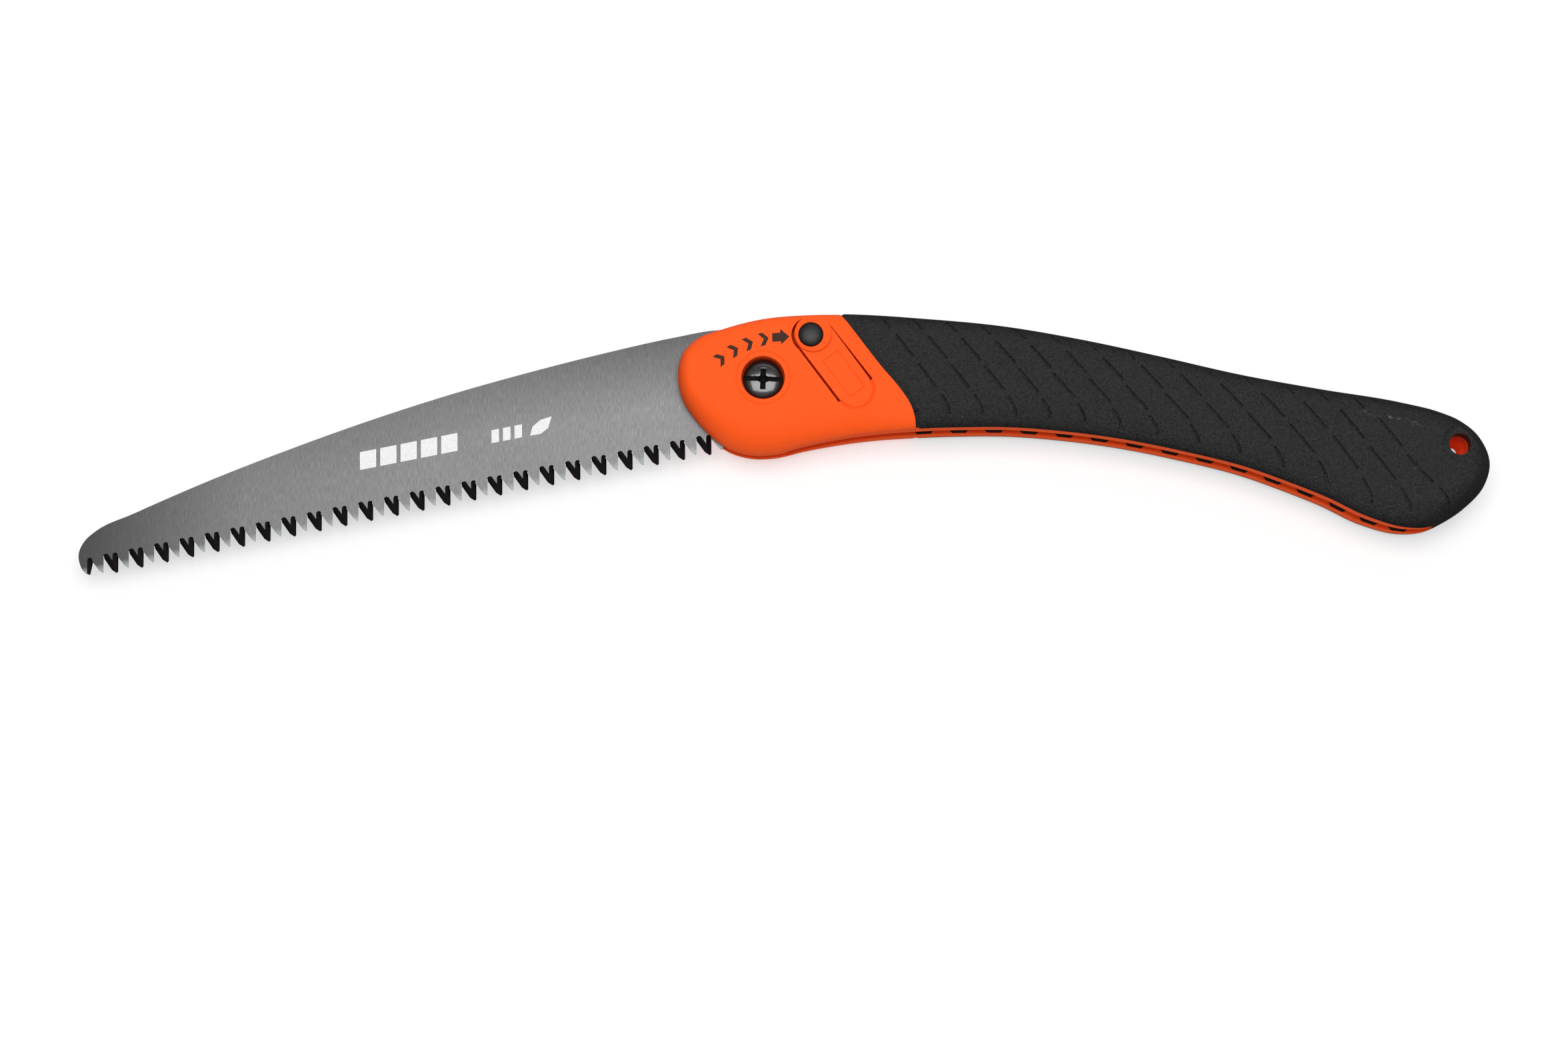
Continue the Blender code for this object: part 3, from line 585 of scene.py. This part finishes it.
def combine(obj, tool, operation="DIFFERENCE", many=False):
    """Cut, join or intersect an object with a tool.

    many is for a tool of several solids, and gives the cut faces the tool's material.
    """
    step = obj.modifiers.new(tool.name, "BOOLEAN")
    step.operation = operation
    step.solver = "EXACT"
    step.object = tool
    step.use_self = many
    step.material_mode = "TRANSFER" if many else "INDEX"


def settle(obj):
    """Apply an object's modifiers, and return the tools that they used."""
    tools = [step.object for step in obj.modifiers if step.type == "BOOLEAN"]
    graph = bpy.context.evaluated_depsgraph_get()
    shaped = bpy.data.meshes.new_from_object(obj.evaluated_get(graph))
    obj.modifiers.clear()
    obj.data = shaped
    return tools


def discard(objects):
    for obj in objects:
        bpy.data.objects.remove(obj, do_unlink=True)


def flip(obj):
    """Reflect an object in the mid-plane."""
    obj.data.transform(Matrix.Scale(-1, 4, (0, 0, 1)))
    obj.data.flip_normals()


def place(obj, body=None, replaces=(), sharp_deg=32):
    """Shade a finished piece, move it into the frame, attach it to its body and hide the CAD nodes that it
    replaces.
    """
    obj.data.shade_smooth()
    obj.data.set_sharp_from_angle(angle=math.radians(sharp_deg))
    obj.data.transform(PLACE)
    if body:
        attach(obj, body)
    if replaces:
        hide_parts(*replaces)


# ---- handle

def ring(stations, inset, height):
    """One ring of a handle half: the outline moved in by inset, at the given height."""
    outline = stations[:, :2]
    moved = outline + inward(outline) * np.reshape(inset, (-1, 1))
    return np.column_stack([moved, np.zeros(len(outline)) + height])


def shoulder_inset(stations, height, top, width):
    """How far the rounded shoulder lies inside the outline at a height."""
    edge = stations[:, 2]
    rise = np.clip((height - edge) / (top - edge), 0, 1)
    return width * (1 - np.sqrt(1 - rise**2))


def shell_blank(name, stations, look):
    """The front half of the handle at the plastic's outline."""
    edge, width = stations[:, 2], stations[:, 3]
    rings = [ring(stations, 0, SEAM)]
    for turn in turns(0, 90, 13):
        height = edge + (SHELL_HALF - edge) * math.sin(turn)
        rings.append(ring(stations, width * (1 - math.cos(turn)), height))
    return lofts(name, [rings], look)


def core_rings(stations, grow):
    """Rings of the plastic's surface under the rubber, flat side first; grow moves them outwards."""
    start = stations[:, 2] + CORE_STEP
    width = stations[:, 3] - CORE_NARROWER
    rings = []
    for turn in turns(90, 0, 4):
        height = start + (CORE_HALF - start) * math.sin(turn) + grow
        rings.append(ring(stations, CORE_INSET - grow + width * (1 - math.cos(turn)), height))
    return rings


def rubber_space(stations):
    """The space that the rubber takes out of a shell, open to the outside."""
    edge, lip = stations[:, 2], stations[:, 4]
    rim = lip * (edge - LIP_DROP) - (1 - lip)
    clear = -4
    rings = core_rings(stations, 0)
    rings += [ring(stations, CORE_INSET, rim), ring(stations, clear, rim), ring(stations, clear, OUTSIDE)]
    return lofts("rubber_space", [rings])


def grip_blank(name, stations, look):
    """The front rubber skin before it is trimmed to its front edge."""
    edge, width, lip = stations[:, 2], stations[:, 3], stations[:, 4]
    rim = lip * (edge - LIP_DROP + FIT) + (1 - lip) * SEAM
    proud = RUBBER_PROUD * (1 - lip)
    rings = core_rings(stations, FIT)
    rings.append(ring(stations, CORE_INSET - FIT, rim))
    for turn in turns(0, 90, 16):
        height = rim + (GRIP_HALF - rim) * math.sin(turn)
        inset = shoulder_inset(stations, height, GRIP_HALF, width) - proud
        rings.append(ring(stations, inset, height))
    return lofts(name, [rings], look)


def window_outlines(stations, shrink):
    """Windows on the belly's edge, seen from the side, smaller all round by shrink."""
    belly = stations[stations[:, 4] == 1]
    outlines = []
    steps = np.arange(WINDOWS)
    crowding = WINDOW_CROWD * np.maximum(steps - CROWD_FROM, 0)**2
    run = WINDOW_WIDTH / 2
    for x in WINDOW_FIRST + WINDOW_PITCH * steps - crowding:
        before, here, after = np.interp([x - run, x, x + run], belly[:, 0], belly[:, 1])
        along = Vector((2 * run, after - before)).normalized()
        up = along.orthogonal()
        half = run - shrink
        foot, head = WINDOW_FOOT + shrink, WINDOW_FOOT + WINDOW_HEIGHT - shrink
        corners = ((-half + WINDOW_TAPER, foot), (half - WINDOW_TAPER, foot),
                   (half, foot + WINDOW_TAPER), (half, head), (-half, head), (-half, foot + WINDOW_TAPER))
        outlines.append([tuple(Vector((x, here)) + along * a + up * b) for a, b in corners])
    return outlines


def cavity_outline():
    """Outline of the blade's cavity, with the hang hole's wall standing in it."""
    return list(CAVITY_ROOF) + arc(HANG, BOSS_WALL, 165, 300, 16) + list(CAVITY_BUTT)


def tongue_outline(gap):
    """Outline of the lock's tongue grown by a gap: round root, straight sides, the boss's end."""
    heading = math.degrees(math.atan2(ARM[1], ARM[0]))
    root = arc(FLEX, TONGUE_HALF + gap, heading + 90, heading + 270, 33)
    return root + arc(BOSS, BOSS_RADIUS + gap, heading - 88, heading + 88, 49)


def slit(name, ends, side):
    """A cutter beside the tongue, as wide as its two ends say."""
    (low, low_width), (high, high_width) = ends
    inner, outer = TONGUE_HALF - 0.2, TONGUE_HALF
    corners = ((low, inner), (low, outer + low_width), (high, outer + high_width), (high, inner))
    return prism(name, [[on_tongue(a, side * b) for a, b in corners]], POCKET_FLOOR, OUTSIDE)


def groove_section(half, depth, lift):
    """Section of a round-bottomed cutter: sideways and upward distances from its line."""
    brim = 0.04
    bottom = [(half * math.cos(a), brim + depth * math.sin(a)) for a in turns(180, 360, 9)]
    return [(-half, lift)] + bottom + [(half, lift)]


def root_groove(name):
    """A cutter for the shallow round groove where the tongue springs from the shell."""
    heading = math.atan2(ARM[1], ARM[0])
    section = groove_section(ROOT_GROOVE_WIDTH / 2, ROOT_GROOVE_DEPTH, 1)
    rings = []
    for turn in np.linspace(heading + math.pi / 2, heading + 3 * math.pi / 2, 41):
        out = Vector((math.cos(turn), math.sin(turn), 0))
        line = Vector((*FLEX, SHELL_HALF)) + out * (TONGUE_HALF + FIT / 2)
        rings.append([line + out * aside + Vector((0, 0, up)) for aside, up in section])
    return lofts(name, [rings])


def lock_cutters():
    """What the lock takes out of the front shell."""
    lean = math.radians(CRESCENT_DEG)
    crescent = (BOSS[0] + CRESCENT_SHIFT * math.cos(lean), BOSS[1] + CRESCENT_SHIFT * math.sin(lean))
    return [prism("pocket", [tongue_outline(FIT)], POCKET_FLOOR, OUTSIDE),
            slit("wide_slit", WIDE_SLIT, -1), slit("narrow_slit", NARROW_SLIT, 1),
            cylinder("crescent", crescent, CRESCENT_RADIUS, POCKET_FLOOR + 0.1, OUTSIDE),
            cylinder("guide", BUTTON, BUTTON_GUIDE, -1, OUTSIDE), root_groove("shell_root_groove")]


def shared_tools(name, stations):
    """The cutters that shape both shells; only the hang hole narrows in the rear one."""
    cavity = prism("cavity", [cavity_outline()], -SLOT_HALF, SLOT_HALF)
    nose = prism("nose_slot", [NOSE_SLOT], -NOSE_SLOT_HALF, NOSE_SLOT_HALF)
    mouth = prism("mouth", [MOUTH], -MOUTH_HALF, MOUTH_HALF)
    windows = prism("windows", window_outlines(stations, 0), -OUTSIDE, OUTSIDE)
    bore = cylinder("bore", (0, 0), BARREL_RADIUS + 2 * FIT, -OUTSIDE, OUTSIDE)
    narrow = HANG_RADIUS - (HANG_TAPER if name == "rear_shell" else 0)
    hang = turned("hang", [(0, -1), (HANG_RADIUS, -1), (HANG_RADIUS, 0), (narrow, COLLAR_FOOT),
                           (COLLAR_RADIUS, COLLAR_FOOT), (COLLAR_RADIUS, OUTSIDE), (0, OUTSIDE)],
                  HANG, sides=HANG_SIDES)
    recess = countersunk("recess", (0, 0), RECESS_RADIUS, RECESS_FLOOR, SHELL_HALF)
    return [cavity, nose, mouth, windows, bore, hang, recess, ring_groove()]


def build_shells(looks):
    """Both plastic shells of the handle, shaped from fine outlines."""
    stations = outline_stations(0.0)
    between = outline_stations(0.5)
    for name, side in (("front_shell", 1), ("rear_shell", -1)):
        half = shell_blank(name + "_fine", stations, looks["orange"])
        space = rubber_space(between)
        trim = rubber_area("rubber_edge", 0)
        combine(space, trim, "INTERSECT")
        combine(half, space)
        tools = shared_tools(name, stations)
        if side > 0:
            tools += lock_cutters()
        for tool in tools:
            combine(half, tool)
        discard(settle(half) + [trim])
        if side < 0:
            flip(half)
        place(half, "handle", [name])


def rubber_area(name, shift):
    """A tool over all that lies behind the rubber's front edge, which is moved back by shift."""
    edge = [(x + shift, y) for x, y in smooth_curve(GRIP_EDGE, 5, closed=False)]
    return prism(name, [edge + BEHIND_EDGE], -OUTSIDE, OUTSIDE)


def outline_stations(phase):
    """Stations round the handle's outline; those of another phase lie between these."""
    stations = smooth_curve(HANDLE, PER_SPAN, closed=True, phase=phase)
    stations[:, 4] = np.clip(stations[:, 4], 0, 1)
    return stations


def surface_of(obj):
    """A function that finds the outer surface above a plan point: the point there and its normal."""
    bm = bmesh.new()
    bm.from_mesh(obj.data)
    tree = BVHTree.FromBMesh(bm)
    bm.free()
    return lambda x, y: tree.ray_cast(Vector((x, y, OUTSIDE + 12)), Vector((0, 0, -1)))[:2]


def channel_rings(points, normals):
    """A round-ended cutter sunk along a line on the rubber."""
    smallest, lift = 0.25, 0.5
    rings = []
    last = len(points) - 1
    for i, (point, normal) in enumerate(zip(points, normals)):
        ahead = points[min(i + 1, last)] - points[max(i - 1, 0)]
        across = ahead.cross(normal).normalized()
        from_end = min(i, last - i) / last * (points[-1] - points[0]).length
        bluntness = min(from_end / CHANNEL_RADIUS, 1)
        end = max(math.sqrt(1 - (1 - bluntness)**2), smallest)
        section = groove_section(CHANNEL_RADIUS * end, CHANNEL_DEPTH * end, lift)
        rings.append([point + across * aside + normal * up for aside, up in section])
    return rings


def channels(stations, look_down):
    """Cutters for all channels of one rubber side."""
    turn = int(np.argmax(stations[:, 0]))
    belly, spine = stations[:turn + 1], stations[turn:][::-1]

    def at_depth(x, share):
        high = np.interp(x, spine[:, 0], spine[:, 1])
        low = np.interp(x, belly[:, 0], belly[:, 1])
        return x, high + share * (low - high)

    places = np.concatenate([[0, 0.02, 0.05], np.linspace(0.1, 0.9, 9), [0.95, 0.98, 1]])
    solids = []
    steps = np.arange(CHANNELS)
    for first, swell, end_swell, share_from, share_to, run_front, run_back, curve in CHANNEL_ROWS:
        starts = first + CHANNEL_PITCH * steps + CHANNEL_STRETCH * steps**2
        starts += np.interp(steps, (6, 11, 13), (0, swell, end_swell))
        for start, run in zip(starts, np.linspace(run_front, run_back, CHANNELS)):
            eased = (1 - curve) * places + curve * np.sin(places * math.pi / 2)
            route = [at_depth(start + run * aside, share_from + (share_to - share_from) * down)
                     for aside, down in zip(eased, places)]
            hits = [look_down(x, y) for x, y in route]
            if all(point is not None for point, _ in hits):
                solids.append(channel_rings([h[0] for h in hits], [h[1] for h in hits]))
    return lofts("channels", solids)


def edge_bevel(look_down):
    """A cutter that bevels the rubber's front edge, following the surface from spine to belly."""
    width, depth = 1.4, 0.6
    inside, outside, lift = 0.3, 0.6, 1.2  # how far the cutter runs past the bevel
    slope = depth / width
    line = smooth_curve(GRIP_EDGE, 14, closed=False)
    hits = [look_down(x + FIT + 0.02, y) for x, y in line]
    path = [hit for hit in hits if hit[0] is not None]
    points = [point for point, _ in path]
    normals = [normal for _, normal in path]
    for end in (0, -1):
        normal = Vector((normals[end].x, normals[end].y, 0)).normalized()
        foot = Vector((points[end].x, points[end].y, -1))
        points.insert(0 if end == 0 else len(points), foot)
        normals.insert(0 if end == 0 else len(normals), normal)
    rings = []
    last = len(points) - 1
    for i, (point, normal) in enumerate(zip(points, normals)):
        ahead = points[min(i + 1, last)] - points[max(i - 1, 0)]
        into = ahead.cross(normal).normalized()
        if into.x < 0:
            into = -into
        rings.append([point + into * (width + inside) + normal * (inside * slope),
                      point - into * outside + normal * lift,
                      point - into * outside - normal * (depth + outside * slope)])
    return lofts("edge_bevel", [rings])


def build_grips(looks):
    """The rubber skins: lugs in the windows, channels, bevelled front edge, hang hole and its collar."""
    stations = outline_stations(0.0)
    between = outline_stations(0.5)
    skin = grip_blank("front_grip_fine", between, looks["rubber"])
    look_down = surface_of(skin)
    combine(skin, rubber_area("grip_edge", FIT), "INTERSECT")
    lugs = prism("lugs", window_outlines(stations, FIT), SLOT_HALF + 0.4, LUG_TOP)
    combine(skin, lugs, "UNION")
    combine(skin, prism("grip_mouth", [MOUTH], -MOUTH_HALF, MOUTH_HALF))
    hole = HANG_RADIUS + 2 * FIT
    hang = [(0, -1), (hole, -1), (hole, SPOT_HEIGHT), (SPOT_RADIUS, SPOT_HEIGHT), (SPOT_RADIUS, OUTSIDE),
            (0, OUTSIDE)]
    combine(skin, turned("grip_hang", hang, HANG, sides=HANG_SIDES))
    combine(skin, edge_bevel(look_down))
    combine(skin, channels(stations, look_down), many=True)
    discard(settle(skin))
    # The collar in the hole's mouth is a closed tube of its own in the same mesh
    wall, foot = COLLAR_RADIUS - FIT, COLLAR_FOOT + FIT
    collar = turned("collar", [(hole, foot), (wall, foot), (wall, CORE_HALF), (hole, CORE_HALF)], HANG)
    bm = bmesh.new()
    for piece in (skin, collar):
        bm.from_mesh(piece.data)
    bm.to_mesh(skin.data)
    bm.free()
    discard([collar])
    rear = in_scene("rear_grip_fine", skin.data.copy())
    flip(rear)
    for grip, node in ((skin, "front_grip"), (rear, "rear_grip")):
        place(grip, "handle", [node], sharp_deg=15)


# ---- blade

def edge_point(along, depth):
    """A point of the toothed edge, given along its chord and below it."""
    share = along / EDGE_LENGTH
    middle = 4 * share * (1 - share)
    return FIRST_GULLET + EDGE_RUN * (along - EDGE_SLIDE * middle) + EDGE_DOWN * (depth - EDGE_BOW * middle)


def tooth_points():
    """The toothed edge from its tip end to the heel."""
    points = []
    for pair in range(TOOTH_PAIRS + 1):
        shape = TOOTH_PAIR if pair < TOOTH_PAIRS else TOOTH_PAIR[:LAST_TOOTH_POINTS]
        points += [tuple(edge_point((pair + share) * PAIR_PITCH, depth)) for share, depth in shape]
    return points


def notch(centre_deg):
    """A lock notch in the tang's rim: its centre, and half the angle that it opens by."""
    turn = math.radians(centre_deg)
    centre = (BUTTON_REACH * math.cos(turn), BUTTON_REACH * math.sin(turn))
    cos_half = (BUTTON_REACH**2 + NOTCH_RADIUS**2 - TANG_RADIUS**2) / (2 * BUTTON_REACH * NOTCH_RADIUS)
    return centre, math.degrees(math.acos(cos_half))


def blade_outline():
    """Outline of the whole blade, anticlockwise."""
    lock_deg = math.degrees(math.atan2(BUTTON[1], BUTTON[0]))
    cos_swing = (TANG_RADIUS**2 + BUTTON_REACH**2 - NOTCH_RADIUS**2) / (2 * TANG_RADIUS * BUTTON_REACH)
    swing = math.degrees(math.acos(cos_swing))
    outline = [tuple(point) for point in smooth_curve(SPINE, 6, closed=False)]
    outline += tooth_points()
    folded_deg = lock_deg - FOLD_DEG
    centre, half = notch(folded_deg)
    outline += arc(centre, NOTCH_RADIUS, HEEL_DEG, folded_deg + 180 - half, 24)
    outline += arc((0, 0), TANG_RADIUS, folded_deg + swing + 1, lock_deg - swing - 1, 48)
    centre, half = notch(lock_deg)
    outline += arc(centre, NOTCH_RADIUS, lock_deg + 180 + half, lock_deg + 180 - half, 20)
    outline += arc((0, 0), TANG_RADIUS, lock_deg + swing + 1, 97, 16)
    return outline


def bevel_cutter(gullet, tip, width, rise, side):
    """The wedge that grinds one flank of a tooth; it starts blunt, at a rise above the gullet.

    side is 1 where the tooth lies on the left of the way from gullet to tip, or else -1.
    """
    lift, past_tip = 0.4, 1.2
    along = (tip - gullet).normalized()
    into = along.orthogonal() * side
    thick = BEVEL_SHARE * 2 * BLADE_HALF
    slope = thick / width
    length = (tip - gullet).length + past_tip
    runs = [-rise + BEVEL_END * share for share in (0.03, 0.15, 0.4, 1.0)]
    runs += [length * share for share in (0, 0.12, 0.4, 1)]
    rings = []
    for run in runs:
        blunt = min((run + rise) / BEVEL_END, 1)
        full = math.sqrt(1 - (1 - blunt)**2)
        beyond = 0.02 + min(0.25 * max(run, 0), 0.6)       # how far it stands clear of the flank
        point = gullet + along * run
        inner = point + into * (width * (1 + full) / 2 + lift / slope)
        outer = point + into * (width * (1 - full) / 2 - beyond)
        floor = BLADE_HALF - thick * full - beyond * slope
        rings.append([(*inner, BLADE_HALF + lift), (*outer, BLADE_HALF + lift), (*outer, floor)])
    return rings


def tooth_bevels(look):
    """Cutters for all bevels: every other tooth is ground from the front, the rest from the rear."""
    front, rear = [], []
    for pair in range(-1, TOOTH_PAIRS + 1):
        corners = [edge_point((pair + share) * PAIR_PITCH, depth) for share, depth in TOOTH_PAIR]
        next_gullet = edge_point((pair + 1) * PAIR_PITCH, 0)
        if pair >= 0:
            rear.append(bevel_cutter(corners[0], corners[1], *REAR_FIRST, 1))
            rear.append(bevel_cutter(corners[4], corners[3], *REAR_SECOND, -1))
        if 0 <= pair < TOOTH_PAIRS:
            front.append(bevel_cutter(corners[4], corners[5], *FRONT_FIRST, 1))
        if pair < TOOTH_PAIRS:
            front.append(bevel_cutter(next_gullet, corners[7], *FRONT_SECOND, -1))
    turned_over = [[[(x, y, -z) for x, y, z in section] for section in rings] for rings in rear]
    return lofts("tooth_bevels", front + turned_over, look)


def build_blade(looks):
    """The toothed blade with ground bevels."""
    blade = prism("blade_fine", [blade_outline()], -BLADE_HALF, BLADE_HALF, looks["steel"])
    blade.data.materials.append(looks["bevel"])
    combine(blade, cylinder("blade_bore", (0, 0), PIVOT_HOLE, -3, 3))
    combine(blade, tooth_bevels(looks["bevel"]), many=True)
    discard(settle(blade))
    place(blade, "blade", ["blade"], sharp_deg=0)


# ---- pivot and lock

def drive_tool(look):
    """The screw's drive: a slot right across it, two wings across that and a star-shaped pit."""
    point, hollow, twist_deg = 2.6, 1.3, -2
    slot_depth, wing_depth, pit_depth = 1.3, 1.6, 2.3
    star = []
    for turn in turns(45, 360, 8):
        reach = point if len(star) % 2 else hollow
        star.append((reach * math.cos(turn), reach * math.sin(turn)))
    slot, wings = rectangle(HEAD_RADIUS + 1, SLOT_HALVES[0]), rectangle(0.8, 3.1)
    solids = [upright(outline, HEAD_TOP - depth, OUTSIDE - depth)
              for outline, depth in ((slot, slot_depth), (wings, wing_depth))]
    solids.append([[(x * grow, y * grow, z) for x, y in star]
                   for grow, z in ((0.4, HEAD_TOP - pit_depth), (1, HEAD_TOP - 0.3), (1.15, OUTSIDE))])
    tool = lofts("drive", solids, look)
    tool.data.transform(Matrix.Rotation(math.radians(twist_deg), 4, "Z"))
    return tool


def soften(obj, width):
    """Round an object's sharper edges with a bevel."""
    step = obj.modifiers.new("soften", "BEVEL")
    step.width = width
    step.segments = 2
    step.limit_method = "ANGLE"
    step.angle_limit = math.radians(40)
    step.use_clamp_overlap = True


def build_pivot(looks):
    """The screw and its nut, both domed; the screw's sharper edges are softened."""
    dome = [(HEAD_RADIUS * math.cos(a),
             HEAD_UNDER + HEAD_SIDE + (HEAD_TOP - HEAD_UNDER - HEAD_SIDE) * math.sin(a))
            for a in turns(0, 90, 16)][:-1]
    shank = [(0, SHANK_END), (SHANK_RADIUS, SHANK_END), (SHANK_RADIUS, HEAD_UNDER),
             (HEAD_RADIUS - HEAD_EDGE, HEAD_UNDER), (HEAD_RADIUS, HEAD_UNDER + HEAD_EDGE)]
    screw = turned("pivot_screw_fine", shank + dome + [(0, HEAD_TOP)], (0, 0), looks["screw"])
    # The drive's cut faces take the painted shade look.
    screw.data.materials.append(looks["recess"])
    combine(screw, drive_tool(looks["recess"]), many=True)
    soften(screw, 0.14)
    discard(settle(screw))
    place(screw, "handle", ["pivot_screw"])
    barrel = [(HEAD_RADIUS - HEAD_EDGE, -HEAD_UNDER), (BARREL_RADIUS, -HEAD_UNDER),
              (BARREL_RADIUS, RECESS_FLOOR)]
    nut = turned("pivot_nut_fine", list(NUT_BORE) + [(r, -h) for r, h in dome[::-1]] + barrel, (0, 0),
                 looks["screw"])
    combine(nut, prism("nut_slot", [rectangle(HEAD_RADIUS + 1, SLOT_HALVES[1])], -OUTSIDE, -HEAD_TOP + 1.0))
    discard(settle(nut))
    place(nut, "handle", ["pivot_nut"])


def panel_outline(inset):
    """Outline of the framed panel on the tongue, moved in by inset."""
    low, high, left, right = PANEL
    low, high, left, right = low + inset, high - inset, left + inset, right - inset
    return [on_tongue(a, b) for a, b in ((low, left), (low, right), (high, right), (high, left))]


def build_lock(looks):
    """The tongue with its boss and framed panel, and the button."""
    stations = outline_stations(0.0)
    tongue = shell_blank("press_tongue_fine", stations, looks["orange"])
    strip = prism("strip", [tongue_outline(0)], TONGUE_BOTTOM, OUTSIDE)
    combine(tongue, strip, "INTERSECT")
    rounding = [(BOSS_RADIUS - BOSS_ROUNDING * (1 - math.cos(a)),
                 BOSS_TOP - BOSS_ROUNDING * (1 - math.sin(a))) for a in turns(0, 90, 6)]
    foot = 7.6
    boss = turned("boss", [(0, foot), (BOSS_RADIUS, foot)] + rounding + [(0, BOSS_TOP)], BOSS)
    combine(tongue, boss, "UNION")
    combine(tongue, root_groove("tongue_root_groove"))
    combine(tongue, cylinder("pin_hole", BUTTON, PIN_RADIUS + 0.3, 0, OUTSIDE))
    seat_radius, seat_floor = BUTTON_RADIUS + 0.08, BOSS_TOP - 1.8
    combine(tongue, countersunk("button_seat", BUTTON, seat_radius, seat_floor, BOSS_TOP, 0.15))
    frame_cut = prism("panel_outer", [panel_outline(0)], SHELL_HALF - PANEL_DEPTH, OUTSIDE)
    keep = prism("panel_inner", [panel_outline(PANEL_LINE)], SHELL_HALF - PANEL_DEPTH - 0.2, OUTSIDE + 1)
    combine(frame_cut, keep)
    combine(tongue, frame_cut)
    discard(settle(tongue) + [keep])
    place(tongue, replaces=["press_tongue"])
    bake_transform(tongue)

    side = [(0, BUTTON_FOOT), (BUTTON_RADIUS, BUTTON_FOOT)]
    dome = [(BUTTON_RADIUS * math.cos(a), BUTTON_SIDE_TOP + BUTTON_DOME * math.sin(a))
            for a in turns(0, 84, 16)]
    button = turned("lock_button_fine", side + dome + [(0, BUTTON_TOP)], BUTTON, looks["button"])
    place(button, "lock_arm", ["lock_button"])


# ---- printing

def build_prints(looks):
    """Printed chevrons and an arrow that point to the lock, and plain printed marks on the blade."""
    outlines = []
    for turn in turns(*CHEVRON_DEGS):
        up = Vector((math.cos(turn), math.sin(turn)))
        along = Vector((up.y, -up.x))
        middle = CHEVRON_CENTRE + up * CHEVRON_RADIUS
        outlines.append([middle + along * a + up * b for a, b in CHEVRON])
    nose = prism("nose_print", outlines + [ARROW], SHELL_HALF - 0.01, SHELL_HALF + 0.03, looks["dark_ink"])
    place(nose, "handle")

    shapes = []
    for first, count, pitch, width, low, high in BLOCKS:
        shift = (high - low) * BLOCK_LEAN
        for a in first + pitch * np.arange(count):
            shapes.append([(a, low), (a + width, low), (a + width + shift, high), (a + shift, high)])
    outlines = [[FIRST_GULLET + EDGE_RUN * a - EDGE_DOWN * b for a, b in shape]
                for shape in shapes + [LEAF]]
    marks = prism("blade_print", outlines, BLADE_HALF - 0.01, BLADE_HALF + 0.015, looks["white_ink"])
    place(marks, "blade")


# ---- stage

def build_floor():
    """A pale floor under the saw."""
    n = Nodes("pale_floor")
    paper = n.noise(6, 2)
    n.set(specular_ior_level=0.0, emission_strength=0.55)
    n.shader.inputs["Emission Color"].default_value = (1, 1, 1, 1)
    color = n.mix(paper, (0.45, 0.45, 0.45), (0.47, 0.47, 0.47))
    floor_look = n.finish(color, n.span(paper, 0, 1, 0.8, 0.9))
    floor = prism("floor", [rectangle(4000, 4000)], -GRIP_HALF - 20, -GRIP_HALF - 0.05, floor_look)
    floor.data.transform(PLACE)
    floor.visible_glossy = False  # a white floor mirrored in the glossy sides would pale them


def build_light():
    """A world that is brighter overhead, and two soft lamps."""
    world = bpy.data.worlds.new("studio")
    bpy.context.scene.world = world
    world.use_nodes = True
    tree = world.node_tree
    sky = tree.nodes.new("ShaderNodeTexCoord")
    height = tree.nodes.new("ShaderNodeSeparateXYZ")
    shade = tree.nodes.new("ShaderNodeMapRange")
    shade.inputs["To Min"].default_value = 0.06
    shade.inputs["To Max"].default_value = 0.5
    tree.links.new(sky.outputs["Generated"], height.inputs[0])
    tree.links.new(height.outputs["Z"], shade.inputs["Value"])
    tree.links.new(shade.outputs["Result"], tree.nodes["Background"].inputs["Strength"])
    tree.nodes["Background"].inputs["Color"].default_value = (1, 1, 1, 1)

    lamps = (("key", (0.0, 0.12, 1.4), (1.0, 0.7), 15.0), ("fill", (0.2, 0.95, 0.9), (1.2, 0.6), 1.8))
    for name, spot, size, power in lamps:
        lamp = bpy.data.lights.new(name, "AREA")
        lamp.shape = "RECTANGLE"
        lamp.energy = power
        lamp.size, lamp.size_y = size
        holder = in_scene(name, lamp)
        holder.location = spot
        holder.rotation_euler = (-Vector(spot)).to_track_quat("-Z", "Y").to_euler()


def build_camera():
    """The camera at the photograph's angle."""
    camera = bpy.data.cameras.new("camera")
    camera.sensor_width = 36.0
    camera.lens = 76.53
    camera.clip_start = 0.05
    holder = in_scene("camera", camera)
    holder.location = Vector((6.0465, -205.4565, 951.0698)) * MM + PIVOT
    holder.rotation_euler = (math.radians(9.83), 0, 0)
    bpy.context.scene.camera = holder
    bpy.context.scene.view_settings.view_transform = "Standard"


def finish_cad_nodes(looks):
    """Better materials for the inner pieces that keep their CAD shape."""
    for node in ("screw_washer", "nut_washer", "lock_pin", "front_thrust_washer", "rear_thrust_washer"):
        for slot in frame["nodes"][node].material_slots:
            slot.material = looks["nylon" if "thrust" in node else "zinc"]


def main():
    looks = {
        "orange": orange_plastic(), "rubber": grip_rubber(), "steel": blade_steel(),
        "bevel": tooth_bevel(), "screw": black_screw(), **inner_looks(),
        "dark_ink": print_ink("brown_black_ink", (0.075, 0.024, 0.012), (0.036, 0.018, 0.012)),
        "white_ink": print_ink("white_ink", (0.72, 0.72, 0.72), (0.86, 0.86, 0.86)),
    }
    build_shells(looks)
    build_grips(looks)
    build_blade(looks)
    build_pivot(looks)
    build_lock(looks)
    build_prints(looks)
    finish_cad_nodes(looks)
    build_floor()
    build_light()
    build_camera()


main()
